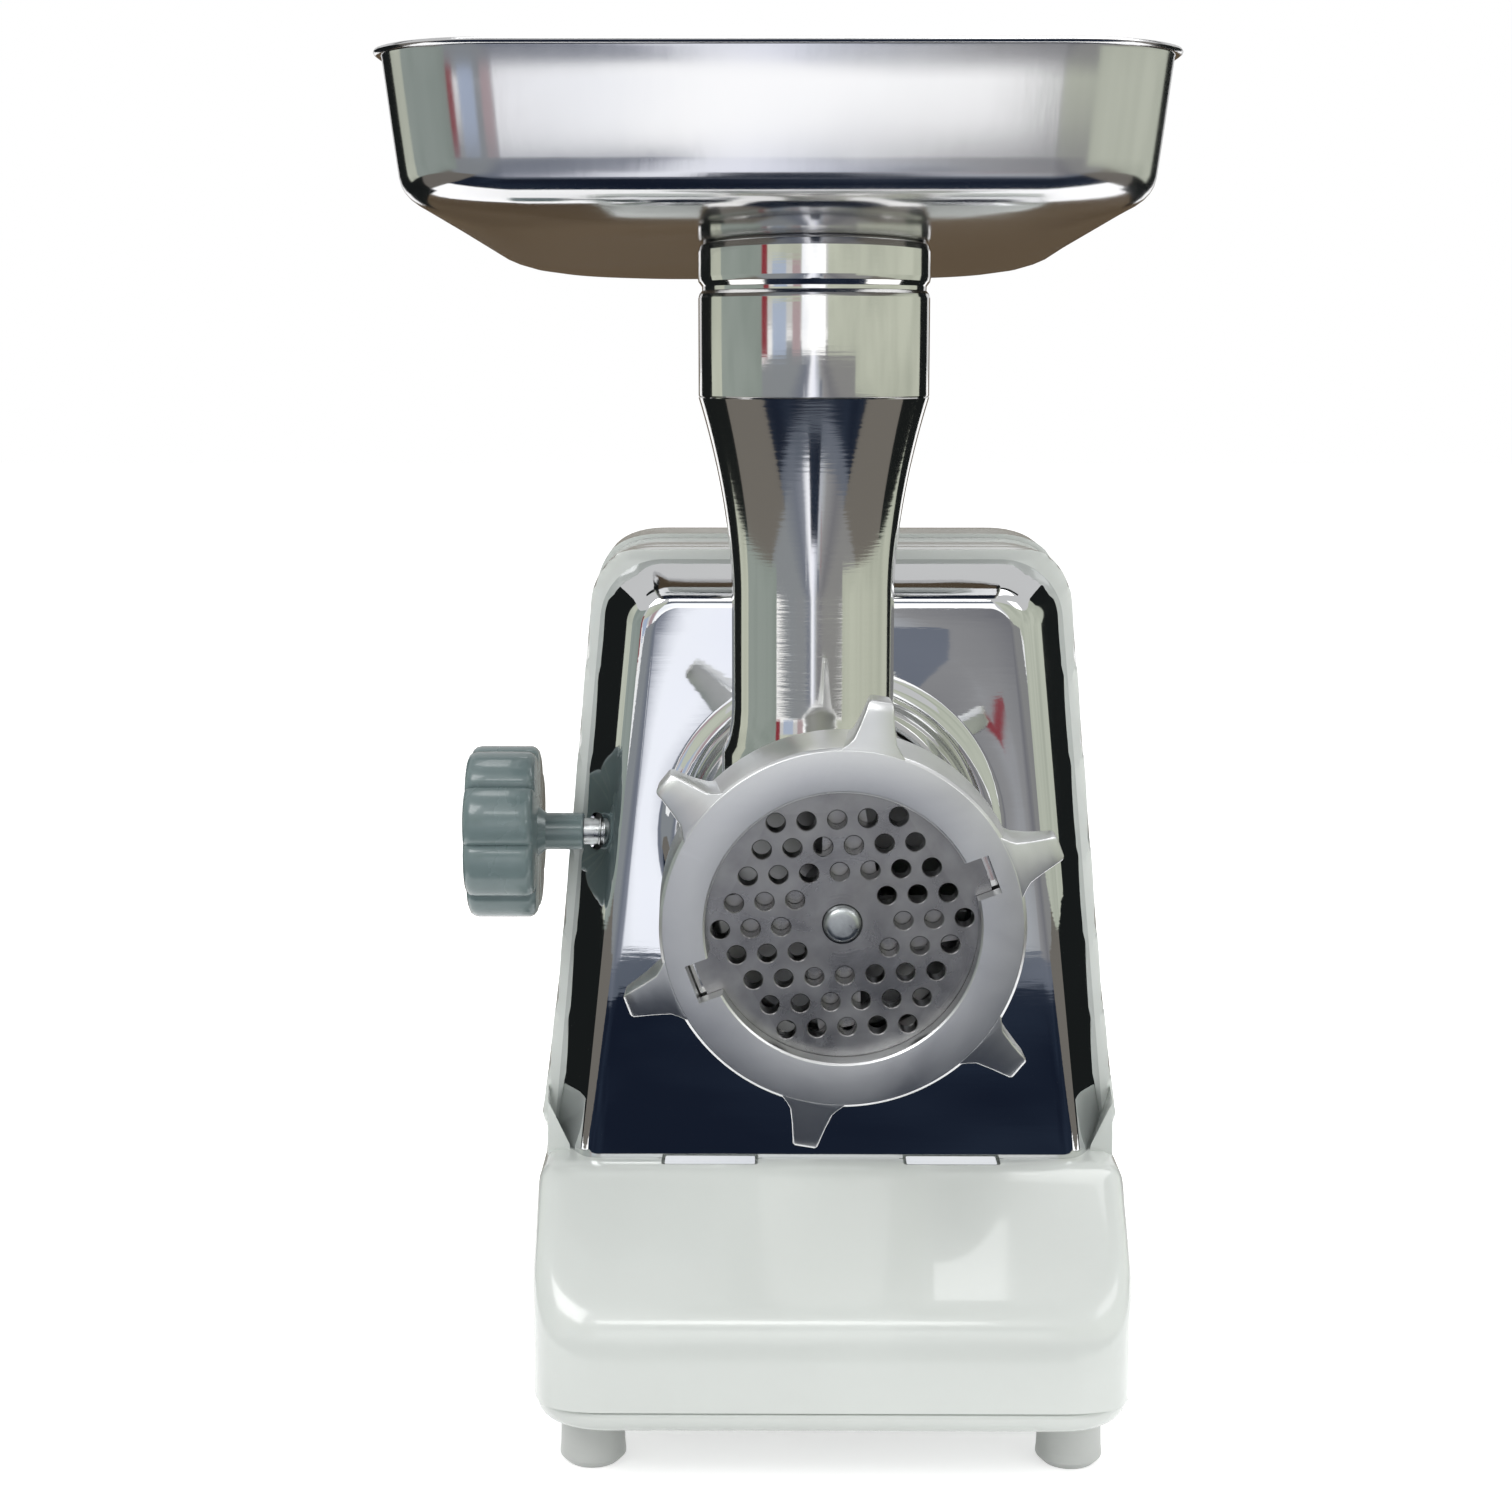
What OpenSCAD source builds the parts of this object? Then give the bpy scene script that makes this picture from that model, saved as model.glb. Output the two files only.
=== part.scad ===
// Electric meat grinder: a moulded housing with a motor and a three-stage spur
// gearbox, a pressed steel front, and a grinding head with a steel hopper tray.
// Millimetres. X = 0 is the auger's plane, Y = 0 the flat of the steel front with
// -Y towards the outlet, and Z = 0 the table that the feet stand on.

/* [Housing] */
// Width of the housing at its base
housing_w = 160; // [156:1:176]
// Width of the housing at its top
housing_top_w = 128; // [124:1:140]
// Height of the housing over the table
housing_h = 244; // [238:1:256]
// Distance from the steel front's flat to the back of the housing
housing_depth = 176; // [172:1:190]
// How far the base stands ahead of the steel front's flat
base_reach = 41; // [34:1:60]
// Height of the base's front edge over the table
base_front_h = 46; // [40:1:52]
// Height of the shelf that the steel front stands on
shelf_h = 79; // [74:1:84]
// Wall of the mouldings
wall = 2.5; // [2:0.25:3]
// Where the front and the rear moulding meet, behind the flat
split_y = 64; // [56:1:70]
// How far the rear moulding stands proud of the front one
rear_step = 1.2; // [0.8:0.1:1.6]

/* [Steel front] */
// Depth of the pressed steel front
cover_depth = 20; // [16:1:24]
// White rim left showing round the steel front
cover_rim = 2.6; // [1.5:0.1:4]
// How far the steel front's sides slope in over its depth
cover_slope = 12; // [9:1:14]
// Radius of the steel front's bends
cover_bend = 4; // [2:0.5:6]
// Thickness of the steel sheet
sheet = 1; // [0.8:0.1:1.2]
// Radius of the pressed ring round the neck
emboss_r = 44; // [42:1:48]
// Width of the pressed ring
emboss_w = 6; // [4:0.5:7]
// Height of the pressed ring
emboss_h = 1.2; // [0.8:0.1:1.6]

/* [Feet] */
// Height of a foot
foot_h = 16.5; // [12:0.5:20]
// Diameter of a foot
foot_d = 18; // [14:1:22]
// Distance of the feet's axes from the housing's sides
foot_inset = 15.5; // [14:0.5:22]
// Height of the base pan
pan_h = 6; // [5:0.5:8]

/* [Grinding head] */
// Height of the auger's axis over the table
axis_z = 168; // [164:1:174]
// How far the ring nut stands ahead of the steel front's flat
ring_reach = 107; // [102:1:114]
// Radius of the ring nut's outlet
outlet_r = 32; // [30:0.5:33]
// Radius of the ring nut's outer wall at its front
ring_r = 41.5; // [40.5:0.5:43]
// Length of the ring nut
ring_len = 24; // [20:1:27]
// Radius at the tips of the ring nut's lugs
lug_r = 52.8; // [48:0.4:56]
// Number of lugs
lug_count = 6; // [4:1:8]
// Turn of the first lug from the horizontal
lug_turn = 20.7; // [0:0.1:60]
// Diameter of the cutting plate
plate_d = 70; // [68:0.5:71]
// Thickness of the cutting plate
plate_t = 6; // [5:0.5:8]
// Diameter of the plate's holes
hole_d = 4.3; // [3:0.1:5]
// Distance between the plate's holes
hole_pitch = 7; // [6.5:0.1:7]
// Turn of the rows of holes from the horizontal
hole_turn = 3; // [0:1:30]
// Radius of the barrel's bore
bore_r = 30; // [28:0.5:30.5]
// Wall of the barrel behind the ring nut
barrel_wall = 4; // [3:0.5:5]
// Radius of the spigot that goes into the gearbox
spigot_r = 26; // [24:0.5:27]
// Diameter of the auger's front pin
pin_d = 8.8; // [8:0.2:10]
// Axial distance between the auger's turns
auger_pitch = 24; // [18:1:30]
// Radius of the auger's core
auger_core_r = 10; // [9:0.5:13]

/* [Feed throat] */
// Sideways place of the throat's axis
throat_x = -6; // [-8:0.5:0]
// Place of the throat's axis ahead of the flat
throat_y = -41; // [-46:0.5:-36]
// Inner radius of the throat
throat_r = 18.2; // [17:0.1:19]
// Wall of the throat
throat_wall = 1.9; // [1.6:0.1:2.4]
// Height at which the throat starts to open out
flare_z = 238; // [230:1:250]
// Height at which the tray's sleeve starts
sleeve_z = 286; // [280:1:292]
// Outer radius of the throat's top
throat_top_r = 26.9; // [25:0.1:28]
// Height of the throat's top
throat_top_z = 310; // [304:1:312]

/* [Tray] */
// Width of the tray at its rim
tray_w = 176; // [160:1:190]
// Length of the tray at its rim
tray_l = 212; // [190:1:230]
// Height of the tray's rim over the table
tray_rim_z = 363; // [355:1:375]
// Height of the bend between the tray's wall and its bottom
tray_bend_z = 331; // [328:1:336]
// Height of the tray's bottom
tray_floor_z = 315.5; // [315:0.5:318]
// How far the bottom runs up from the back to the front
tray_rise = 11; // [8:1:12]
// Sideways place of the tray's middle from the throat
tray_dx = -9; // [-14:0.5:0]
// Place of the tray's middle behind the throat
tray_dy = 35; // [20:1:45]

/* [Clamp knob] */
// Radius of the knob
knob_r = 23.5; // [20:0.5:24]
// Thickness of the knob
knob_t = 19; // [15:1:22]
// Distance of the knob's inner face from the auger's plane
knob_x = 79.6; // [78:0.2:84]
// Place of the knob's axis behind the flat
knob_y = 11; // [9:0.5:12]
// Diameter of the clamp bolt
bolt_d = 8; // [6:0.5:9]

/* [Gearbox] */
// Module of the last, the middle and the first stage
stage_module = [1.75, 1.25, 1];
// Teeth of the large gear in each stage
gear_teeth = [48, 44, 45];
// Teeth of the pinion in each stage
pinion_teeth = [12, 11, 10];
// Share of the pitch left open between meshed teeth
backlash = 0.12; // [0.08:0.01:0.16]
// Height of the motor's axis over the table
motor_z = 72; // [70:0.5:74]
// Radius of the output shaft
shaft_r = 16; // [14:0.5:17]

/* [Motor] */
// Radius of the motor's stator
stator_r = 35; // [32:0.5:37]
// Room left behind the motor's rear bracket
motor_room = 10.5; // [8:0.5:16]
// Radius of the rotor
rotor_r = 20; // [18:0.5:22]
// Radius of the rotor's shaft
motor_shaft_r = 3.5; // [3:0.25:3.75]

/* [Hidden] */
$fn = 96;
big = 400;
eps = 0.5;

// Clearances
run_gap = 0.08;
part_gap = 0.3;
slip_gap = 0.25;

// Heights and places shared by several pieces
pan_top = foot_h + pan_h;
pan_seam = 0.6;
housing_bottom = pan_top + pan_seam;
edge_r = 16;
cover_top = housing_h - cover_rim;
cover_back_w = [housing_w - 2 * cover_rim, housing_top_w - 2 * cover_rim];
neck_r = spigot_r + 7;
neck_reach = 3;
case_front = cover_depth + wall;
case_wall = 7;
case_rim = 4;
gear_y = [case_front + case_wall + 4, case_front + case_wall + 21, case_front + case_wall + 34];
gear_t = [12, 8, 6];
cover_y = case_front + case_wall + 44;
cover_t = 5;
housing_back = housing_depth;
foot_y = [-17, housing_back - 26];
foot_x = housing_w / 2 - foot_inset;

// Grinding head, as distances along Y
ring_front = -ring_reach;
lip_t = 5.7;
plate_front = ring_front + lip_t + part_gap;
plate_back = plate_front + plate_t;
mouth_front = plate_front + 1.5;
mouth_r = plate_d / 2 + 3;
knife_front = plate_back + 0.3;
knife_t = 4;
auger_front = knife_front + knife_t + 0.3;
bore_back = -14;
auger_back = bore_back - 3;
spigot_back = case_front - 0.5;
shank_r = 12.5;
square_w = 9.4;
hex_r = 9.8;
hex_depth = 18;
shaft_front = spigot_back + 1;

// Throat and tray
sleeve_r = throat_top_r + slip_gap + sheet;
tray_x = throat_x + tray_dx;
tray_y = throat_y + tray_dy;
tray_flare = 4.3;

// Gear train: each shaft's [x, z], from the output down to the motor
function stage_distance(i) = stage_module[i] * (gear_teeth[i] + pinion_teeth[i]) / 2;
middle_z = axis_z - stage_distance(0);
shaft_drop = middle_z - motor_z;
first_dz = (stage_distance(1) ^ 2 - stage_distance(2) ^ 2 + shaft_drop ^ 2) / (2 * shaft_drop);
first_x = sqrt(stage_distance(1) ^ 2 - first_dz ^ 2);
first_z = middle_z - first_dz;
train = [[0, axis_z], [0, middle_z], [first_x, first_z], [0, motor_z]];
axle_r = 5;
bush_r = 9;
case_r = [
    gear_tip_r(0) + 2.5,
    gear_tip_r(1) + 2.5,
    gear_tip_r(2) + 2.5,
    bush_r + 3
];

// Motor, as distances along Y
fan_y = cover_y + cover_t + 4;
fan_t = 8;
stator_y = fan_y + fan_t + 7;
coil_t = 5;
commutator_t = 11;
bracket_t = 5;
bracket_y = housing_back - motor_room - bracket_t;
commutator_y = bracket_y - 4 - commutator_t;
stator_len = commutator_y - 3 - coil_t - stator_y;

// ---- Helpers ----

function unit(v) = v / norm(v);
function turned(p, a) = [p[0] * cos(a) - p[1] * sin(a), p[0] * sin(a) + p[1] * cos(a)];
function xy(p) = [p[0], p[1]];

// Points of the arc that rounds corner b between a and c to radius r
function corner(a, b, c, r, n) =
    r == 0 ? [b] :
    let (
        u = unit(a - b),
        v = unit(c - b),
        half = acos(u * v) / 2,
        middle = b + unit(u + v) * r / sin(half),
        start = b + u * r / tan(half) - middle,
        turn = sign(cross(b - a, c - b)) * (180 - 2 * half)
    )
    [for (i = [0 : n]) middle + turned(start, turn * i / n)];

// Closed outline from points [x, y, corner radius]
function rounded(p, n = 6) = [
    for (i = [0 : len(p) - 1])
        each corner(xy(p[(i + len(p) - 1) % len(p)]), xy(p[i]), xy(p[(i + 1) % len(p)]), p[i][2], n)
];

// Rounded rectangle centred on [x, y]
function rounded_box(x, y, w, l, r, n = 6) = rounded([
    [x - w / 2, y - l / 2, r],
    [x + w / 2, y - l / 2, r],
    [x + w / 2, y + l / 2, r],
    [x - w / 2, y + l / 2, r]
], n);

// Outline in X and Y lifted to height z
function level(outline, z) = [for (p = outline) [p[0], p[1], z]];

// Outline in X and Z stood up at distance y
function upright(outline, y) = [for (p = outline) [p[0], y, p[1]]];

// Solid through a stack of outlines with the same number of points
module loft(rings) {
    n = len(rings[0]);
    last = len(rings) - 1;
    side_faces = [
        for (k = [0 : last - 1], i = [0 : n - 1])
            let (j = (i + 1) % n)
                each [
                    [k * n + i, (k + 1) * n + i, (k + 1) * n + j],
                    [k * n + i, (k + 1) * n + j, k * n + j]
                ]
    ];
    polyhedron(
        points = [for (ring = rings) each ring],
        faces = concat(
            side_faces,
            [[for (i = [0 : n - 1]) i]],
            [[for (i = [n - 1 : -1 : 0]) last * n + i]]
        )
    );
}

// Local Z becomes +Y, with the origin at [x, y, z]
module facing_back(x, y, z) {
    translate([x, y, z]) rotate([-90, 0, 0]) children();
}

// Disc or tube along Y
module rod(p, y0, y1, r) {
    facing_back(p[0], y0, p[1]) cylinder(h = y1 - y0, r = r);
}

module tube(p, y0, y1, r_out, r_in) {
    difference() {
        rod(p, y0, y1, r_out);
        rod(p, y0 - eps, y1 + eps, r_in);
    }
}

// Outline in Y and Z extruded across the part
module across(outline) {
    rotate([90, 0, 90]) translate([0, 0, -big / 2]) linear_extrude(big) polygon(outline);
}

// Outline in X and Z extruded from y0 to y1
module along(outline, y0, y1) {
    translate([0, y1, 0]) rotate([90, 0, 0]) linear_extrude(y1 - y0) polygon(outline);
}

// ---- Gears ----

function gear_tip_r(i) = stage_module[i] * (gear_teeth[i] / 2 + 0.9);
function pinion_tip_r(i) = stage_module[i] * (pinion_teeth[i] / 2 + 0.9);

// Outline of a spur gear with straight flanks, one tooth pointing along +X
function gear_outline(teeth, m) =
    let (
        pitch = 360 / teeth,
        pitch_r = m * teeth / 2,
        root_r = pitch_r - 1.2 * m,
        tip_r = pitch_r + 0.9 * m,
        tooth = pitch * (0.5 - backlash / 2) / 2,
        root = tooth + pitch * 0.12,
        tip = tooth - pitch * 0.1
    )
    [
        for (k = [0 : teeth - 1])
            each [
                for (q = [[root_r, -root], [tip_r, -tip], [tip_r, tip], [root_r, root]])
                    [q[0] * cos(k * pitch + q[1]), q[0] * sin(k * pitch + q[1])]
            ]
    ];

// Direction from shaft i to the shaft below it, measured in X and Z
function way_down(i) = atan2(train[i + 1][1] - train[i][1], train[i + 1][0] - train[i][0]);

// Large gear of stage i: a tooth points at the pinion's shaft
module stage_gear(i, bore) {
    difference() {
        facing_back(train[i][0], gear_y[i], train[i][1])
            rotate([0, 0, -way_down(i)])
                difference() {
                    linear_extrude(gear_t[i]) polygon(gear_outline(gear_teeth[i], stage_module[i]));
                    for (k = [0 : 4])
                        rotate([0, 0, 72 * k])
                            translate([gear_tip_r(i) * 0.56, 0, -eps])
                                cylinder(h = gear_t[i] + 2 * eps, r = gear_tip_r(i) * 0.13);
                }
        rod(train[i], gear_y[i] - eps, gear_y[i] + gear_t[i] + eps, bore);
    }
}

// Pinion of stage i: a gap faces the large gear
module stage_pinion(i) {
    half_tooth = 180 / pinion_teeth[i];
    facing_back(train[i + 1][0], gear_y[i], train[i + 1][1])
        rotate([0, 0, -(way_down(i) + 180 + half_tooth)])
            linear_extrude(gear_t[i]) polygon(gear_outline(pinion_teeth[i], stage_module[i]));
}

module output_gear() {
    color("dimgray") stage_gear(0, shaft_r);
}

module output_shaft() {
    color("silver")
        difference() {
            union() {
                rod(train[0], shaft_front, cover_y + cover_t, shaft_r);
                rod(train[0], gear_y[0] + gear_t[0], gear_y[0] + gear_t[0] + 4, shaft_r + 4);
            }
            facing_back(0, shaft_front - eps, axis_z)
                cylinder(h = hex_depth + eps, r = hex_r + 0.2, $fn = 6);
        }
}

module middle_gear() {
    color("dimgray") stage_gear(1, axle_r);
}

module middle_pinion() {
    color("silver")
        union() {
            stage_pinion(0);
            rod(train[1], case_front + 2, cover_y + cover_t - 1, axle_r);
        }
}

module first_gear() {
    color("ivory") stage_gear(2, axle_r);
}

module first_pinion() {
    color("silver")
        union() {
            stage_pinion(1);
            rod(train[2], case_front + 2, cover_y + cover_t - 1, axle_r);
        }
}

// ---- Gearbox ----

module case_outline(extra) {
    for (i = [0 : 3]) translate([train[i][0], train[i][1]]) circle(r = case_r[i] + extra);
}

module case_block(y0, y1, extra) {
    translate([0, y1, 0]) rotate([90, 0, 0]) linear_extrude(y1 - y0) case_outline(extra);
}

case_screw_spots = concat(
    [for (a = [45, 135]) train[0] + (case_r[0] + case_rim + 2.5) * [cos(a), sin(a)]],
    [for (a = [14, 166]) train[1] + (case_r[1] + case_rim + 2.5) * [cos(a), sin(a)]]
);

module case_lugs(y0, y1) {
    for (p = case_screw_spots) rod(p, y0, y1, 6);
}

// Cast case with the neck that takes the head's spigot
module gearbox_case() {
    color("lightgray")
        difference() {
            union() {
                case_block(case_front, cover_y, case_rim);
                case_lugs(case_front, cover_y);
                rod(train[0], -neck_reach, case_front + 1, neck_r);
            }
            case_block(case_front + case_wall, cover_y + eps, 0);
            rod(train[0], -neck_reach - eps, case_front, spigot_r + run_gap);
            rod(train[0], case_front - eps, case_front + case_wall + eps, shaft_r + 4);
            for (i = [1 : 2]) rod(train[i], case_front + 1, case_front + case_wall + eps, bush_r);
            for (p = case_screw_spots) rod(p, case_front + 4, cover_y + eps, 2);
            translate([-neck_r - eps, knob_y, axis_z]) rotate([0, 90, 0])
                cylinder(h = neck_r, r = bolt_d / 2 + run_gap);
        }
}

module gearbox_cover() {
    color("lightgray")
        difference() {
            union() {
                case_block(cover_y, cover_y + cover_t, case_rim);
                case_lugs(cover_y, cover_y + cover_t);
            }
            rod(train[0], cover_y - eps, cover_y + cover_t + eps, shaft_r + run_gap);
            for (i = [1 : 3]) rod(train[i], cover_y - eps, cover_y + cover_t + eps, bush_r);
            for (p = case_screw_spots) rod(p, cover_y - eps, cover_y + cover_t + eps, 2);
        }
}

module gearbox_screws() {
    color("gray")
        for (p = case_screw_spots)
            union() {
                rod(p, case_front + 6, cover_y + cover_t + 1, 1.9);
                rod(p, cover_y + cover_t, cover_y + cover_t + 3, 3.8);
            }
}

module output_bush() {
    color("goldenrod") tube(train[0], case_front, case_front + case_wall, shaft_r + 4, shaft_r + run_gap);
}

module shaft_bushes() {
    color("goldenrod") {
        for (i = [1 : 2]) {
            tube(train[i], case_front + 1, case_front + case_wall, bush_r, axle_r + run_gap);
            tube(train[i], cover_y, cover_y + cover_t, bush_r, axle_r + run_gap);
        }
        tube(train[3], cover_y, cover_y + cover_t, bush_r, motor_shaft_r + run_gap);
    }
}

// ---- Motor ----

module motor_stator() {
    color("slategray")
        difference() {
            rod(train[3], stator_y, stator_y + stator_len, stator_r);
            rod(train[3], stator_y - eps, stator_y + stator_len + eps, rotor_r + 0.6);
            for (s = [-1, 1])
                translate([s * (stator_r - 7) - 4, stator_y - eps, motor_z - 12])
                    cube([8, stator_len + 2 * eps, 24]);
        }
}

// Two field coils in the stator's slots, bent round its ends
module stator_coils() {
    color("peru")
        for (s = [-1, 1], y = [stator_y - coil_t, stator_y + stator_len])
            intersection() {
                tube(train[3], y, y + coil_t, stator_r - 3, rotor_r + 2);
                translate([s * stator_r / 2 - stator_r / 2 + s * 3, y - eps, motor_z - stator_r])
                    cube([stator_r, coil_t + 2 * eps, 2 * stator_r]);
            }
}

pillar_angles = [20, 128];
pillar_spots = [for (a = pillar_angles) train[3] + (stator_r + 4) * [cos(a), sin(a)]];

// Rear plate that carries the rotor's rear end
module motor_bracket() {
    color("lightgray")
        facing_back(0, bracket_y, motor_z)
            linear_extrude(bracket_t)
                difference() {
                    union() {
                        circle(r = 15);
                        for (a = pillar_angles)
                            rotate(-a) {
                                translate([8, -5]) square([stator_r - 4, 10]);
                                translate([stator_r + 4, 0]) circle(r = 6);
                            }
                    }
                    circle(r = motor_shaft_r + run_gap);
                }
}

// Pillars from the gearbox cover, past the stator, to the bracket
module bracket_pillars() {
    color("gray")
        for (p = pillar_spots) rod(p, cover_y + cover_t, bracket_y, 3.9);
}

module brush_holders() {
    color("saddlebrown")
        for (s = [-1, 1])
            difference() {
                translate([s * 20 - 7.5, bracket_y - 11, motor_z - 5]) cube([15, 11, 10]);
                translate([s * 20 - 8, bracket_y - 9.5, motor_z - 3]) cube([16, 7, 6]);
            }
}

module brushes() {
    color("dimgray")
        for (s = [-1, 1])
            translate([s * 19 - 7, bracket_y - 9.5, motor_z - 3]) cube([14, 7, 6]);
}

module rotor_shaft() {
    color("silver")
        union() {
            stage_pinion(2);
            rod(train[3], gear_y[2] - 1, bracket_y + bracket_t + 1, motor_shaft_r);
        }
}

module armature() {
    color("slategray")
        difference() {
            rod(train[3], stator_y, stator_y + stator_len, rotor_r);
            for (k = [0 : 11])
                facing_back(0, stator_y - eps, motor_z)
                    rotate([0, 0, 30 * k])
                        translate([rotor_r - 3, -1, 0]) cube([4, 2, stator_len + 2 * eps]);
            rod(train[3], stator_y - eps, stator_y + stator_len + eps, motor_shaft_r);
        }
}

module commutator() {
    color("chocolate") tube(train[3], commutator_y, commutator_y + commutator_t, 11.6, motor_shaft_r);
}

module cooling_fan() {
    color("darkslategray")
        union() {
            tube(train[3], fan_y, fan_y + fan_t, 8, motor_shaft_r);
            tube(train[3], fan_y, fan_y + 1.5, stator_r - 5, 7);
            for (k = [0 : 8])
                facing_back(0, fan_y + 1, motor_z)
                    rotate([0, 0, 40 * k])
                        translate([12, -0.75, 0]) cube([stator_r - 5 - 12.5, 1.5, fan_t - 1]);
        }
}

// ---- Housing ----

// Outline from the front: vertical base, sides leaning in above the shelf
function front_outline(inset) = rounded([
    [-housing_w / 2 + inset, 0, 0],
    [housing_w / 2 - inset, 0, 0],
    [housing_w / 2 - inset, shelf_h, 0],
    [housing_top_w / 2 - inset, housing_h - inset, edge_r - min(inset, 6)],
    [-housing_top_w / 2 + inset, housing_h - inset, edge_r - min(inset, 6)],
    [-housing_w / 2 + inset, shelf_h, 0]
]);

// Outline from the side: sloping base front, shelf, upright front, rounded back
function side_outline(inset) = rounded([
    [-base_reach + inset, 0, 0],
    [-base_reach + inset, base_front_h - inset, 11],
    [-6, shelf_h - inset, 9],
    [cover_depth + inset, shelf_h - inset, 0],
    [cover_depth + inset, housing_h - inset, 3],
    [housing_back - 62, housing_h - inset, 60],
    [housing_back - inset, shelf_h + 92, 46],
    [housing_back - inset, 0, 0]
], 10);

// Outline from above
function plan_outline(inset) = rounded([
    [-housing_w / 2 + inset, -base_reach + inset, 20 - min(inset, 5)],
    [housing_w / 2 - inset, -base_reach + inset, 20 - min(inset, 5)],
    [housing_w / 2 - inset, housing_back - inset, 26 - min(inset, 5)],
    [-housing_w / 2 + inset, housing_back - inset, 26 - min(inset, 5)]
]);

module housing_form(inset, bottom) {
    intersection() {
        along(front_outline(inset), -base_reach, housing_back + 10);
        across(side_outline(inset));
        translate([0, 0, bottom]) linear_extrude(big) polygon(plan_outline(inset));
    }
}

// Half width of the housing at height z above the shelf
function half_width(z) =
    (housing_w - (housing_w - housing_top_w) * (z - shelf_h) / (housing_h - shelf_h)) / 2;

housing_screw_spots = [
    for (s = [-1, 1], z = [shelf_h + 21, housing_h - 50]) [s * (half_width(z) - wall - 4), z]
];

module front_housing() {
    color("honeydew")
        difference() {
            union() {
                difference() {
                    housing_form(0, housing_bottom);
                    housing_form(wall, housing_bottom - eps);
                    translate([-big / 2, split_y, 0]) cube([big, big, big]);
                }
                for (p = housing_screw_spots) rod(p, cover_depth + 1, split_y, 5);
            }
            rod(train[0], cover_depth - eps, cover_depth + wall + eps, neck_r + 1);
            for (p = housing_screw_spots) rod(p, cover_depth + 10, split_y + eps, 1.9);
            for (s = [-1, 1])
                translate([s * 33 - 14 - slip_gap, -slip_gap, shelf_h - 6])
                    cube([28 + 2 * slip_gap, sheet + 2 * slip_gap, 10]);
        }
}

vent_rows = 7;

module rear_housing() {
    color("white")
        difference() {
            union() {
                difference() {
                    housing_form(-rear_step, housing_bottom);
                    housing_form(wall - rear_step, housing_bottom - eps);
                    translate([-big / 2, split_y - big, 0]) cube([big, big, big]);
                }
                for (p = housing_screw_spots) rod(p, split_y, split_y + 8, 5 + 1.3 * rear_step);
            }
            for (p = housing_screw_spots) rod(p, split_y - eps, split_y + 9, 2.2);
            for (s = [-1, 1], k = [0 : vent_rows - 1])
                translate([s * 12 - 10, housing_back - 8, 50 + 6 * k])
                    cube([20, 14, 3]);
            for (s = [-1, 1], k = [0 : vent_rows - 1])
                translate([s * housing_w / 2 - 8, stator_y + 6 * k, 42])
                    cube([16, 3, 26]);
            translate([switch_x - switch_w / 2, housing_back - 8, switch_z - switch_l / 2])
                cube([switch_w, 14, switch_l]);
            rod(gland_spot, housing_back - 8, housing_back + 8, gland_r);
        }
}

module housing_screws() {
    color("gray")
        for (p = housing_screw_spots)
            union() {
                rod(p, split_y - 16, split_y + 9, 1.8);
                rod(p, split_y + 8, split_y + 11, 4);
            }
}

// Pan with turned-up edge, tongue inside the housing and saddles for the motor
module base_pan() {
    color("gainsboro")
        difference() {
            union() {
                loft([
                    level(plan_outline(5), foot_h),
                    level(plan_outline(2.4), foot_h + 0.8),
                    level(plan_outline(1), foot_h + 2.4),
                    level(plan_outline(0.6), pan_top)
                ]);
                translate([0, 0, pan_top - 1])
                    linear_extrude(6)
                        difference() {
                            polygon(plan_outline(wall + 0.6));
                            polygon(plan_outline(wall + 2.6));
                        }
                for (y = [stator_y + 5, stator_y + stator_len - 9])
                    translate([-26, y, pan_top - 1]) cube([52, 4, motor_z - stator_r * 0.7 - pan_top + 1]);
            }
            rod(train[3], stator_y, stator_y + stator_len, stator_r);
            for (k = [0 : 6])
                translate([-20, stator_y + 6 + 5 * k, foot_h - eps]) cube([40, 2.4, pan_h + 2 * eps]);
            for (x = [-foot_x, foot_x], y = foot_y)
                translate([x, y, foot_h - eps]) cylinder(h = pan_h + 2 * eps, r = 2);
        }
}

module foot(x, y) {
    color("whitesmoke")
        translate([x, y, 0])
            rotate_extrude()
                polygon(concat(
                    [[2, foot_h], [2, 4], [4.2, 4], [4.2, 0]],
                    corner([0, 0], [foot_d / 2, 0], [foot_d / 2, foot_h], 2, 6),
                    [[foot_d / 2, foot_h]]
                ));
}

module foot_front_left() { foot(-foot_x, foot_y[0]); }
module foot_front_right() { foot(foot_x, foot_y[0]); }
module foot_rear_left() { foot(-foot_x, foot_y[1]); }
module foot_rear_right() { foot(foot_x, foot_y[1]); }

module foot_screws() {
    color("gray")
        for (x = [-foot_x, foot_x], y = foot_y)
            translate([x, y, 0])
                union() {
                    translate([0, 0, 1.5]) cylinder(h = 2.5, r = 3.8);
                    translate([0, 0, 3.5]) cylinder(h = foot_h + pan_h, r = 1.8);
                }
}

// ---- Steel front ----

function cover_outline(bottom_w, top_w, bottom, top, r) = rounded([
    [-bottom_w / 2, bottom, 0],
    [bottom_w / 2, bottom, 0],
    [top_w / 2, top, r],
    [-top_w / 2, top, r]
], 10);

// Outline of the steel front once its sides have come in by slope
function cover_section(slope, inset) =
    cover_outline(cover_back_w[0] - 2 * slope - 2 * inset, cover_back_w[1] - 2 * slope - 2 * inset,
        shelf_h - inset, cover_top - 0.75 * slope - inset, 17 - 0.7 * slope - inset);

// [slope, distance ahead of the back edge] down the side and round the bend to the flat
cover_profile = concat(
    [[0, 0]],
    corner([0, 0], [cover_slope - 2, cover_depth], [cover_slope + cover_bend, cover_depth],
        cover_bend, 4)
);

module cover_form(inset) {
    loft([
        for (q = cover_profile)
            upright(cover_section(q[0], inset), cover_depth - q[1] + (q[1] > 0 ? inset : min(inset, eps)))
    ]);
}

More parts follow.
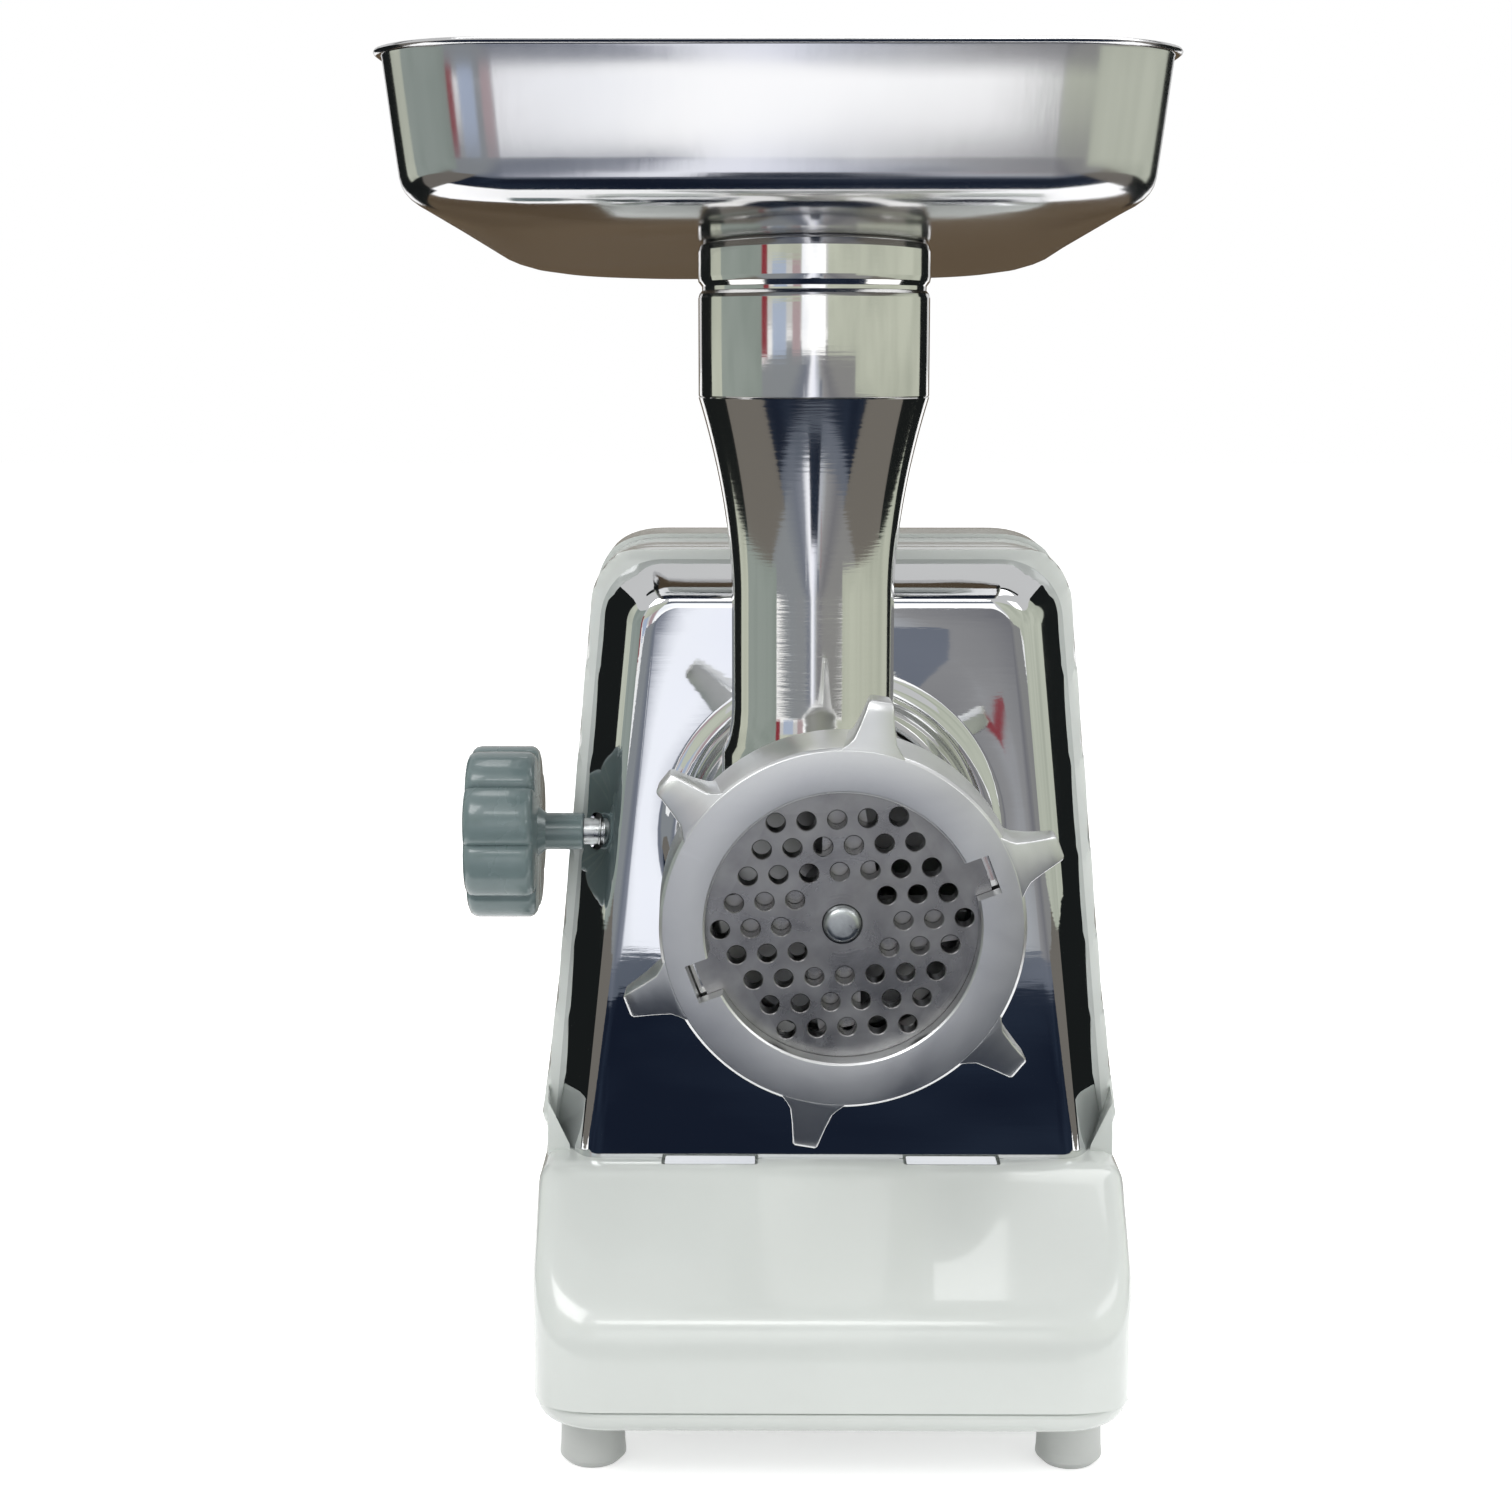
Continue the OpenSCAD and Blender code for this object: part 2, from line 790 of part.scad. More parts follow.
// Drawn steel front: sloped sides, pressed ring, hole for the neck, two tabs below
module front_cover() {
    color("lightsteelblue")
        difference() {
            union() {
                difference() {
                    cover_form(0);
                    cover_form(sheet);
                }
                facing_back(0, -emboss_h, axis_z)
                    cylinder(h = emboss_h + sheet, r1 = emboss_r - 1.5, r2 = emboss_r + 1);
                for (s = [-1, 1])
                    translate([s * 33 - 14, 0, shelf_h - 4]) cube([28, sheet, 6]);
            }
            facing_back(0, sheet - emboss_h, axis_z)
                cylinder(h = emboss_h + 1, r = emboss_r - emboss_w);
            rod(train[0], -big / 2, cover_depth + eps, neck_r + 0.5);
            translate([-housing_w / 2, knob_y, axis_z]) rotate([0, 90, 0])
                cylinder(h = housing_w / 2 - neck_r - 8, r = bolt_d / 2 + 1.2);
        }
}

// ---- Switch and cord gland ----

switch_x = -36;
switch_z = 130;
switch_w = 22;
switch_l = 30;
switch_back = housing_back + rear_step;
rocker_r = 11.5;
rocker_y = switch_back - 6;
rocker_tilt = 10;

module switch_bezel() {
    color("black")
        difference() {
            union() {
                translate([switch_x - switch_w / 2 - 2, switch_back, switch_z - switch_l / 2 - 2])
                    cube([switch_w + 4, 2, switch_l + 4]);
                translate([switch_x - switch_w / 2, switch_back - 20, switch_z - switch_l / 2])
                    cube([switch_w, 21, switch_l]);
            }
            translate([switch_x - 7, rocker_y - 5.5, switch_z - rocker_r - part_gap])
                cube([14, 30, 2 * (rocker_r + part_gap)]);
            translate([switch_x - 7, rocker_y, switch_z]) rotate([0, 90, 0])
                cylinder(h = 14, r = rocker_r + part_gap);
            translate([switch_x - 9, rocker_y, switch_z]) rotate([0, 90, 0])
                cylinder(h = 18, r = 1.5 + run_gap);
        }
}

// Rocker with two leaning faces on a cross pin
module switch_rocker() {
    color("firebrick")
        translate([switch_x, rocker_y, switch_z]) rotate([rocker_tilt, 0, 0])
            union() {
                intersection() {
                    rotate([0, 90, 0]) translate([0, 0, -6.7]) cylinder(h = 13.4, r = rocker_r);
                    rotate([90, 0, 90]) translate([0, 0, -6.7]) linear_extrude(13.4)
                        polygon([[-3, -12], [-3, 12], [8.5, 12], [7, 0], [8.5, -12]]);
                }
                rotate([0, 90, 0]) translate([0, 0, -8.7]) cylinder(h = 17.4, r = 1.5);
            }
}

gland_spot = [40, 40];
gland_r = 7;

module cord_gland() {
    color("black")
        facing_back(gland_spot[0], switch_back, gland_spot[1])
            rotate_extrude()
                polygon([
                    [3.8, -6], [gland_r - 0.1, -6], [gland_r - 0.1, 0], [gland_r + 3, 0],
                    [gland_r + 3, 3], [6.5, 5], [5.5, 14], [3.8, 14]
                ]);
}

// ---- Grinding head ----

// Points of the throat's wall as it opens out from radius r0 to r1
function flare(r0, r1) = [
    for (i = [0 : flare_steps])
        let (t = i / flare_steps) [r0 + (r1 - r0) * t ^ 1.8, flare_z + (sleeve_z - flare_z) * t]
];

flare_steps = 8;
throat_start = axis_z + bore_r + 4;

module throat_outside() {
    out_r = throat_r + throat_wall;
    translate([throat_x, throat_y, 0])
        rotate_extrude()
            polygon(concat(
                [[0, axis_z], [out_r + 2.5, axis_z], [out_r + 2.5, axis_z + bore_r + 1],
                 [out_r + 0.7, axis_z + bore_r + 5], [out_r, axis_z + bore_r + 10]],
                flare(out_r, sleeve_r),
                [[throat_top_r, sleeve_z], [throat_top_r, throat_top_z], [0, throat_top_z]]
            ));
}

module throat_inside() {
    translate([throat_x, throat_y, 0])
        rotate_extrude()
            polygon(concat(
                [[0, axis_z], [throat_r + 0.6, axis_z], [throat_r + 0.6, throat_start],
                 [throat_r, throat_start + 0.6]],
                flare(throat_r, throat_top_r - throat_wall),
                [[throat_top_r - throat_wall, throat_top_z + eps], [0, throat_top_z + eps]]
            ));
}

module grinder_head() {
    barrel_r = bore_r + barrel_wall;
    color("silver")
        difference() {
            union() {
                facing_back(0, mouth_front, axis_z)
                    rotate_extrude()
                        polygon([
                            [0, 0], [mouth_r - 1, 0], [mouth_r, 1],
                            [mouth_r, ring_len - 4], [barrel_r, ring_len],
                            [barrel_r, bore_back - mouth_front],
                            [spigot_r + 1, bore_back - mouth_front + 9],
                            [spigot_r, bore_back - mouth_front + 9.5],
                            [spigot_r, spigot_back - mouth_front - 1],
                            [spigot_r - 1, spigot_back - mouth_front], [0, spigot_back - mouth_front]
                        ]);
                throat_outside();
            }
            throat_inside();
            rod(train[0], mouth_front - eps, plate_back, plate_d / 2 + 0.15);
            rod(train[0], plate_back - eps, bore_back, bore_r);
            rod(train[0], bore_back - eps, spigot_back + eps, shank_r + run_gap);
            facing_back(-plate_d / 2 + 0.5, mouth_front - eps, axis_z)
                translate([-2, -2, 0]) cube([4, 4, plate_back - mouth_front + eps - 0.5]);
        }
}

// Peg at nine o'clock that keeps the plate from turning
module plate_key() {
    color("dimgray")
        translate([-plate_d / 2 - 1.5, mouth_front + 0.5, axis_z - 2])
            cube([3.8, plate_back - mouth_front - 1, 4]);
}

hole_rows = 4;

module cutting_plate() {
    color("gray")
        facing_back(0, plate_front, axis_z)
            difference() {
                cylinder(h = plate_t, r = plate_d / 2);
                for (row = [-hole_rows : hole_rows])
                    let (count = 2 * hole_rows + 1 - abs(row))
                        for (k = [0 : count - 1]) {
                            spot = turned([(k - (count - 1) / 2) * hole_pitch, row * hole_pitch * sin(60)], -hole_turn);
                            if (norm(spot) > hole_pitch * 1.2)
                                translate([spot[0], spot[1], -eps])
                                    cylinder(h = plate_t + 2 * eps, d = hole_d);
                        }
                translate([0, 0, -eps]) cylinder(h = plate_t + 2 * eps, r = pin_d / 2 + run_gap);
                translate([-plate_d / 2 - 1, -2.2, -eps]) cube([3.9, 4.4, plate_t + 2 * eps]);
            }
}

// Core, helical flight, square nose for the blade, shank and hexagonal drive
module auger() {
    flight_root = 4.6;
    flight_edge = 2.6;
    flight_step = 15;
    flight_len = auger_back - auger_front - flight_root;
    flight_r = bore_r - 0.6;
    flight_section = [
        [auger_core_r - 2, 0],
        [auger_core_r - 2, flight_root],
        [flight_r, flight_root],
        [flight_r, flight_root - flight_edge]
    ];
    color("silver")
        union() {
            facing_back(0, auger_front, axis_z)
                loft([
                    for (a = [0 : flight_step : 360 * flight_len / auger_pitch])
                        [
                            for (q = flight_section)
                                [q[0] * cos(a), q[0] * sin(a), q[1] + auger_pitch * a / 360]
                        ]
                ]);
            rod(train[0], auger_front, bore_back - 2, auger_core_r);
            rod(train[0], bore_back - 2.5, 12, shank_r);
            facing_back(0, 11, axis_z)
                cylinder(h = shaft_front + hex_depth - 12, r = hex_r, $fn = 6);
            translate([-square_w / 2, knife_front - 0.2, axis_z - square_w / 2])
                cube([square_w, auger_front - knife_front + 1, square_w]);
        }
}

module auger_pin() {
    color("gainsboro")
        facing_back(0, plate_front - 1.8, axis_z)
            rotate_extrude()
                polygon(concat(
                    [[0, 0]],
                    corner([0, 0], [pin_d / 2, 0], [pin_d / 2, 5], 1.8, 5),
                    [[pin_d / 2, plate_t + 1.9], [0, plate_t + 1.9]]
                ));
}

// Four-armed blade that turns against the plate
module cross_blade() {
    arm_r = bore_r - 0.8;
    color("gray")
        facing_back(0, knife_front, axis_z)
            difference() {
                linear_extrude(knife_t)
                    union() {
                        circle(r = 10);
                        for (k = [0 : 3])
                            rotate([0, 0, 90 * k])
                                polygon([[0, -4.5], [arm_r - 4, -4.5], [arm_r - 2, 5], [8, 8.5]]);
                    }
                translate([-square_w / 2 - 0.1, -square_w / 2 - 0.1, -eps])
                    cube([square_w + 0.2, square_w + 0.2, knife_t + 2 * eps]);
            }
}

module thrust_washer() {
    color("white") tube(train[0], bore_back - 2 + 0.3, bore_back - 0.3, 20, shank_r);
}

// Ring nut: bevelled lip, thread relief, six tapering lugs, two spanner notches
module ring_nut() {
    bore = mouth_r + run_gap;
    color("lightgray")
        facing_back(0, ring_front, axis_z)
            difference() {
                union() {
                    rotate_extrude()
                        polygon([
                            [outlet_r + 0.8, 0], [ring_r - 3.5, 0], [ring_r - 1.2, 0.8],
                            [ring_r, 2.6], [ring_r + 1, ring_len - 1], [ring_r + 0.2, ring_len],
                            [bore, ring_len], [bore, lip_t], [outlet_r - 0.8, lip_t], [outlet_r, 0.8]
                        ]);
                    for (k = [0 : lug_count - 1])
                        rotate([0, 0, -lug_turn - 360 * k / lug_count]) ring_lug();
                }
                for (k = [0, 1])
                    rotate([0, 0, -lug_turn - 180 * k])
                        translate([outlet_r - 3, -4.6, -eps]) cube([7.6, 9.2, lip_t + 2 * eps]);
            }
}

module ring_lug() {
    root = ring_r - 1.5;
    half_root = 7.6;
    half_tip = 2.7;
    intersection() {
        linear_extrude(ring_len)
            polygon(concat(
                [[root, -half_root]],
                corner([root, -half_root], [ring_r + 1.6, -5], [lug_r, -half_tip], 3, 4),
                corner([ring_r + 1.6, -5], [lug_r, -half_tip], [lug_r, half_tip], 1.2, 4),
                corner([lug_r, -half_tip], [lug_r, half_tip], [ring_r + 1.6, 5], 1.2, 4),
                corner([lug_r, half_tip], [ring_r + 1.6, 5], [root, half_root], 3, 4),
                [[root, half_root]]
            ));
        rotate([90, 0, 0]) translate([0, 0, -10])
            linear_extrude(20)
                polygon([
                    [root, 1.2], [lug_r - 1.5, 1.9], [lug_r + 1, 3.2], [lug_r + 1, 10],
                    [ring_r + 4, ring_len - 3], [root, ring_len - 1.5]
                ]);
    }
}

// ---- Tray ----

// Height of the tray's sloping underside at y
function tray_under(y) = tray_floor_z + tray_rise * (tray_y + tray_l / 2 - y) / tray_l;

function tray_ring(grow, inset, z, r, slope = 0) =
    [
        for (p = rounded_box(tray_x, tray_y, tray_w + 2 * grow - 2 * inset,
            tray_l + 2 * grow - 2 * inset, r - inset, 8))
            [p[0], p[1], z + slope * (tray_under(p[1]) - tray_floor_z)]
    ];

module tray_form(inset, lift) {
    loft([
        tray_ring(-29, inset, tray_floor_z + lift, 30, 1),
        tray_ring(-14, inset, tray_floor_z + 4.5 + lift, 30, 0.75),
        tray_ring(-7, inset, tray_bend_z - 4 + lift, 28, 0.3),
        tray_ring(-tray_flare, inset, tray_bend_z + lift, 26),
        tray_ring(0, inset, tray_rim_z + (lift > 0 ? eps : 0), 26)
    ]);
}

// Drawn steel tray with a turned rim and a hole over the throat
module tray_pan() {
    color("silver")
        difference() {
            union() {
                tray_form(0, 0);
                translate([0, 0, tray_rim_z - 1.6])
                    linear_extrude(1.6)
                        polygon(rounded_box(tray_x, tray_y, tray_w + 3.4, tray_l + 3.4, 27.7, 8));
            }
            tray_form(sheet, sheet);
            translate([throat_x, throat_y, tray_under(throat_y) - 3])
                cylinder(h = 7, r = throat_top_r - 3.4);
        }
}

// Collar under the tray with the sleeve that slips over the throat
module tray_neck() {
    in_r = throat_top_r + slip_gap;
    top = tray_under(throat_y) + 6;
    color("silver")
        translate([throat_x, throat_y, 0])
            difference() {
                rotate_extrude()
                    polygon([
                        [in_r, sleeve_z + 0.3], [sleeve_r, sleeve_z + 0.3],
                        [sleeve_r, throat_top_z + 0.8], [sleeve_r - 0.9, throat_top_z + 1.6],
                        [sleeve_r - 0.9, throat_top_z + 3], [sleeve_r + 0.2, throat_top_z + 3.6],
                        [sleeve_r + 0.2, top], [throat_top_r - 3.2, top],
                        [throat_top_r - 3.2, throat_top_z + 0.3], [in_r, throat_top_z + 0.3]
                    ]);
                translate([0, 0, tray_under(throat_y)])
                    rotate([-atan(tray_rise / tray_l), 0, 0])
                        translate([-throat_top_r - 6, -throat_top_r - 9, 0])
                            cube([2 * throat_top_r + 12, 2 * throat_top_r + 18, 12]);
            }
}

// ---- Clamp knob ----

module to_left(x, r) {
    translate([x, knob_y, axis_z]) rotate([0, -90, 0]) children();
}

knob_lobes = 8;

// Lobed knob with a domed end and a stem
module clamp_knob() {
    lobe_r = knob_r * 0.28;
    color("slategray")
        to_left(-knob_x)
            union() {
                intersection() {
                    linear_extrude(knob_t)
                        union() {
                            circle(r = knob_r - lobe_r * 0.9);
                            for (k = [0 : knob_lobes - 1])
                                rotate([0, 0, 360 * (k + 0.5) / knob_lobes])
                                    translate([knob_r - lobe_r, 0]) circle(r = lobe_r);
                        }
                    rotate_extrude()
                        polygon([
                            [0, 0], [knob_r - 1.5, 0], [knob_r + 1, 2.5], [knob_r + 1, knob_t - 5],
                            [knob_r - 1.5, knob_t - 1.5], [knob_r - 6, knob_t - 0.3], [0, knob_t]
                        ]);
                }
                translate([0, 0, -12.3]) cylinder(h = 12.5, r = 5);
            }
}

module clamp_bolt() {
    bolt_tip = spigot_r + part_gap;
    color("gainsboro")
        to_left(-bolt_tip)
            rotate_extrude()
                polygon([
                    [0, 0], [bolt_d / 2 - 1.2, 0], [bolt_d / 2, 1.2],
                    [bolt_d / 2, knob_x - 12.3 - bolt_tip], [0, knob_x - 12.3 - bolt_tip]
                ]);
}

front_housing();
rear_housing();
base_pan();
foot_front_left();
foot_front_right();
foot_rear_left();
foot_rear_right();
foot_screws();
front_cover();
housing_screws();
gearbox_case();
gearbox_cover();
gearbox_screws();
output_bush();
shaft_bushes();
motor_stator();
stator_coils();
motor_bracket();
bracket_pillars();
brush_holders();
brushes();
switch_bezel();
switch_rocker();
cord_gland();
grinder_head();
cutting_plate();
plate_key();
auger();
auger_pin();
cross_blade();
thrust_washer();
ring_nut();
tray_pan();
tray_neck();
clamp_knob();
clamp_bolt();
output_shaft();
output_gear();
middle_gear();
middle_pinion();
first_gear();
first_pinion();
rotor_shaft();
armature();
commutator();
cooling_fan();
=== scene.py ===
# %% [markdown]
# # Dressing an electric meat grinder
# The engineering model gives every piece its place. This lesson gives the pieces the shapes and
# finishes that a viewer sees: a glossy moulding, mirror-polished sheet steel, a satin casting.
# The first cell loads that model. Nothing in it is ever moved, so all that is made here is made
# in the same frame: X = 0 is the auger's plane, -Y points out of the outlet, Z = 0 is the table.
# %% The frame that everything is placed in
import math

import bmesh
import bpy
import numpy as np
from mathutils import Matrix, Vector


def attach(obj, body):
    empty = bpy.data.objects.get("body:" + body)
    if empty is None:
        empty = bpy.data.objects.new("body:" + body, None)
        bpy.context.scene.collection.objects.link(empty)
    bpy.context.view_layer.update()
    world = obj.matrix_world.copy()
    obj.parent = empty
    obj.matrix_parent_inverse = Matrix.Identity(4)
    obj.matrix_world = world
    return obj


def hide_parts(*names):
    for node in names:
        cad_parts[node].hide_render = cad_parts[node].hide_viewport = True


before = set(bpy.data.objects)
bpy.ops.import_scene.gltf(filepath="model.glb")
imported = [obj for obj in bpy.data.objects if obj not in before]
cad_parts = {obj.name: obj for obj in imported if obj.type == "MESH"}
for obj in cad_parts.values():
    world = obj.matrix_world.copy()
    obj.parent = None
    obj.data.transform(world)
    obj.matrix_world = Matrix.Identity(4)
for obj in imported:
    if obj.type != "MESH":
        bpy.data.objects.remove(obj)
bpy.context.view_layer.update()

scene = bpy.context.scene
scene.view_settings.view_transform = "Standard"

# %% [markdown]
# ## Camera
# A product shot from a little above, close enough that the tray looks wider than the base. The
# lens and place come first, because every later choice is made for this camera.
# %% Camera
view = bpy.data.cameras.new("grinder_view")
view.sensor_width = 36
view.lens = 59.9
view.clip_start = 0.05
camera = bpy.data.objects.new("grinder_view", view)
LOOK_DOWN, LOOK_LEFT = 9.17, 0.39   # degrees
camera.location = (-0.0159, -0.6625, 0.2975)
camera.rotation_euler = (math.radians(90 - LOOK_DOWN), 0, math.radians(LOOK_LEFT))
scene.collection.objects.link(camera)
scene.camera = camera
print("camera stands", round(-camera.location.y, 3), "m ahead of the steel front")

# %% [markdown]
# ## Small tools for node trees
# Shader trees and geometry trees are built with the same two moves: add a node with its values,
# and link a socket to another. One helper does both, and three more on top of it make what comes
# back most often: a sum, a change of range and a noise, so that a material reads like a recipe.
# %% Node helper
def add_node(tree, kind, inputs=None, **settings):
    made = tree.nodes.new(kind)
    for key, value in settings.items():
        setattr(made, key, value)
    for key, value in (inputs or {}).items():
        if isinstance(value, bpy.types.NodeSocket):
            tree.links.new(value, made.inputs[key])
        else:
            made.inputs[key].default_value = value
    return made


def effect_group(name, inputs, outputs):
    tree = bpy.data.node_groups.new(name, "ShaderNodeTree")
    for label, kind, value in inputs:
        socket = tree.interface.new_socket(label, in_out="INPUT", socket_type=kind)
        socket.default_value = value
    for label, kind in outputs:
        tree.interface.new_socket(label, in_out="OUTPUT", socket_type=kind)
    return tree, tree.nodes.new("NodeGroupInput"), tree.nodes.new("NodeGroupOutput")


def put_out(tree, outlet, **results):
    for label, socket in results.items():
        tree.links.new(socket, outlet.inputs[label])


def calc(tree, operation, a, b=0.0, **settings):
    """One sum of two sockets or numbers."""
    return add_node(tree, "ShaderNodeMath", {0: a, 1: b}, operation=operation,
                    **settings).outputs[0]


def mapped(tree, value, low, high, to_low=0.0, to_high=1.0):
    """The value moved from one range into another."""
    return add_node(tree, "ShaderNodeMapRange", {
        "Value": value, "From Min": low, "From Max": high,
        "To Min": to_low, "To Max": to_high}).outputs["Result"]


def object_noise(tree, scale, detail, stretch=None, **inputs):
    """Noise in the piece's own coordinates, drawn out along its axes by stretch."""
    place = add_node(tree, "ShaderNodeTexCoord").outputs["Object"]
    if stretch is not None:
        place = add_node(tree, "ShaderNodeVectorMath", {0: place, 1: stretch},
                         operation="MULTIPLY").outputs[0]
    return add_node(tree, "ShaderNodeTexNoise", {
        "Vector": place, "Scale": scale, "Detail": detail, **inputs}).outputs["Fac"]


FLOAT, VECTOR, COLOUR = "NodeSocketFloat", "NodeSocketVector", "NodeSocketColor"
COUNT = "NodeSocketInt"
print("node helpers ready")

# %% [markdown]
# ## Effects that several finishes share
# A real surface is never one number. Four effects cover this product: fine grain (orange peel on a
# moulding, sand texture on a casting), handling marks (soft clouds in the gloss), turned marks
# (rings left by a lathe round an axis) and worn edges. Each is a node group, built once.
# %% Grain and handling marks
grain, grain_in, grain_out = effect_group(
    "surface_grain",
    [("Scale", FLOAT, 900.0), ("Stretch", VECTOR, (1.0, 1.0, 1.0)), ("Detail", FLOAT, 4.0)],
    [("Height", FLOAT)],
)
speckle = object_noise(grain, grain_in.outputs["Scale"], grain_in.outputs["Detail"],
                       grain_in.outputs["Stretch"])
put_out(grain, grain_out, Height=speckle)

marks, marks_in, marks_out = effect_group(
    "handling_marks",
    [("Scale", FLOAT, 22.0), ("Low", FLOAT, 0.05), ("High", FLOAT, 0.12)],
    [("Roughness", FLOAT), ("Cloud", FLOAT)],
)
cloud = object_noise(marks, marks_in.outputs["Scale"], 5.0, Distortion=0.6)
spread = mapped(marks, cloud, 0.36, 0.68, marks_in.outputs["Low"], marks_in.outputs["High"])
put_out(marks, marks_out, Roughness=spread, Cloud=cloud)
print("grain and handling marks:", len(grain.nodes) + len(marks.nodes), "nodes")

# %% Turned marks and worn edges
turned, turned_in, turned_out = effect_group(
    "turned_marks",
    [("Centre", VECTOR, (0.0, 0.0, 0.168)), ("Lines", FLOAT, 1400.0)],
    [("Height", FLOAT)],
)
place = add_node(turned, "ShaderNodeTexCoord")
arm = add_node(turned, "ShaderNodeVectorMath", {0: place.outputs["Object"],
               1: turned_in.outputs["Centre"]}, operation="SUBTRACT")
flat = add_node(turned, "ShaderNodeVectorMath", {0: arm.outputs[0], 1: (1.0, 0.0, 1.0)},
                operation="MULTIPLY")
radius = add_node(turned, "ShaderNodeVectorMath", {0: flat.outputs[0]}, operation="LENGTH")
rings = add_node(turned, "ShaderNodeTexNoise", {
    "W": radius.outputs["Value"], "Scale": turned_in.outputs["Lines"], "Detail": 3.0},
    noise_dimensions="1D").outputs["Fac"]
put_out(turned, turned_out, Height=rings)

wear, wear_in, wear_out = effect_group(
    "worn_edges",
    [("Base", COLOUR, (0.5, 0.5, 0.5, 1.0)), ("Worn", COLOUR, (0.8, 0.8, 0.8, 1.0)),
     ("Reach", FLOAT, 0.06), ("Break Up", FLOAT, 160.0)],
    [("Color", COLOUR)],
)
EDGE_CONTRAST = 22.0
shape = add_node(wear, "ShaderNodeNewGeometry")
chips = object_noise(wear, wear_in.outputs["Break Up"], 3.0)
start = calc(wear, "ADD", 0.5, wear_in.outputs["Reach"])
rise = calc(wear, "SUBTRACT", shape.outputs["Pointiness"], start)
edge = calc(wear, "MULTIPLY", rise, EDGE_CONTRAST, use_clamp=True)
broken = calc(wear, "MULTIPLY", edge, chips, use_clamp=True)
blend = add_node(wear, "ShaderNodeMix", {"Factor": broken}, data_type="RGBA")
put_out(wear, blend, A=wear_in.outputs["Base"], B=wear_in.outputs["Worn"])
put_out(wear, wear_out, Color=blend.outputs["Result"])
print("turned marks and worn edges:", len(turned.nodes) + len(wear.nodes), "nodes")

# %% [markdown]
# ## Finishes
# Every finish is the same short recipe with its own values: a base colour that varies a little and
# wears lighter on edges, roughness from the handling marks, and a very small bump from the grain.
# Values that are the same all over, such as the coat's roughness, sit on the shader itself.
# %% Recipe for a finish
def grinder_finish(name, colour, worn, rough, metal=0.0, grain_scale=900.0, stretch=(1, 1, 1),
                   depth=0.00002, cloud_scale=22.0, tint=0.06, reach=0.06, coat=0.0,
                   lathe=0.0, lathe_lines=1400.0, waves=0.0):
    made = bpy.data.materials.new(name)
    made.use_nodes = True
    tree = made.node_tree
    shader = tree.nodes["Principled BSDF"]
    shader.inputs["Metallic"].default_value = metal
    shader.inputs["Coat Weight"].default_value = coat
    shader.inputs["Coat Roughness"].default_value = 0.04
    edges = add_node(tree, "ShaderNodeGroup", {"Base": (*colour, 1), "Worn": (*worn, 1),
                     "Reach": reach}, node_tree=wear)
    fine = add_node(tree, "ShaderNodeGroup", {"Scale": grain_scale, "Stretch": stretch},
                    node_tree=grain)
    soft = add_node(tree, "ShaderNodeGroup", {"Scale": cloud_scale, "Low": rough[0],
                    "High": rough[1]}, node_tree=marks)
    shade = mapped(tree, soft.outputs["Cloud"], 0.3, 0.7, 1 - tint, 1.0)
    toned = add_node(tree, "ShaderNodeVectorMath", {0: edges.outputs["Color"], "Scale": shade},
                     operation="SCALE")
    tree.links.new(toned.outputs[0], shader.inputs["Base Color"])
    tree.links.new(soft.outputs["Roughness"], shader.inputs["Roughness"])
    height = fine.outputs["Height"]
    if lathe:
        spun = add_node(tree, "ShaderNodeGroup", {"Lines": lathe_lines}, node_tree=turned)
        height = add_node(tree, "ShaderNodeMath", {0: spun.outputs["Height"], 1: lathe, 2: height},
                          operation="MULTIPLY_ADD").outputs[0]
    bump = add_node(tree, "ShaderNodeBump", {"Height": height, "Strength": 0.6, "Distance": depth})
    if waves:
        rolling = add_node(tree, "ShaderNodeBump", {"Height": object_noise(tree, 9.0, 1.0),
                           "Strength": 1.0, "Distance": waves})
        tree.links.new(rolling.outputs["Normal"], bump.inputs["Normal"])
    tree.links.new(bump.outputs["Normal"], shader.inputs["Normal"])
    return made


print("finish recipe ready")

# %% [markdown]
# ### Plastics
# The housing is a glossy, faintly green white with a light orange peel. The knob is a grey-green
# gloss plastic, the feet a softer pale one, and the switch and gland are black and red.
# %% Plastics
white_gloss = grinder_finish("white_gloss_moulding", (0.70, 0.735, 0.705), (0.76, 0.785, 0.76),
                             (0.16, 0.24), coat=0.5, grain_scale=420, depth=0.00003, tint=0.03)
knob_gloss = grinder_finish("grey_green_knob", (0.155, 0.212, 0.215), (0.2, 0.26, 0.25),
                            (0.2, 0.32), coat=0.35, grain_scale=700, tint=0.15)
foot_plastic = grinder_finish("pale_foot_plastic", (0.60, 0.62, 0.60), (0.68, 0.7, 0.68),
                              (0.36, 0.5), grain_scale=1200, tint=0.12)
black_plastic = grinder_finish("black_moulding", (0.018, 0.018, 0.02), (0.06, 0.06, 0.06),
                               (0.3, 0.45), grain_scale=1500, depth=0.00004)
red_plastic = grinder_finish("red_rocker", (0.42, 0.015, 0.012), (0.55, 0.06, 0.05),
                             (0.18, 0.3), coat=0.3, grain_scale=900)
nylon = grinder_finish("natural_nylon", (0.66, 0.63, 0.54), (0.75, 0.72, 0.64), (0.35, 0.5),
                       grain_scale=800, tint=0.1)
print("plastics:", [m.name for m in (white_gloss, knob_gloss, foot_plastic, black_plastic)])

# %% [markdown]
# ### Metals
# Three brightnesses of steel matter here. The pressed front is a near mirror with the slow waves of
# thin sheet, the tray is drawn and a little cloudy, and the throat is buffed. The ring nut is satin
# cast aluminium, and the perforated plate is dark ground steel with rings from the lathe.
# %% Bright metals
def grinder_metal(*look, **values):
    return grinder_finish(*look, metal=1.0, **values)


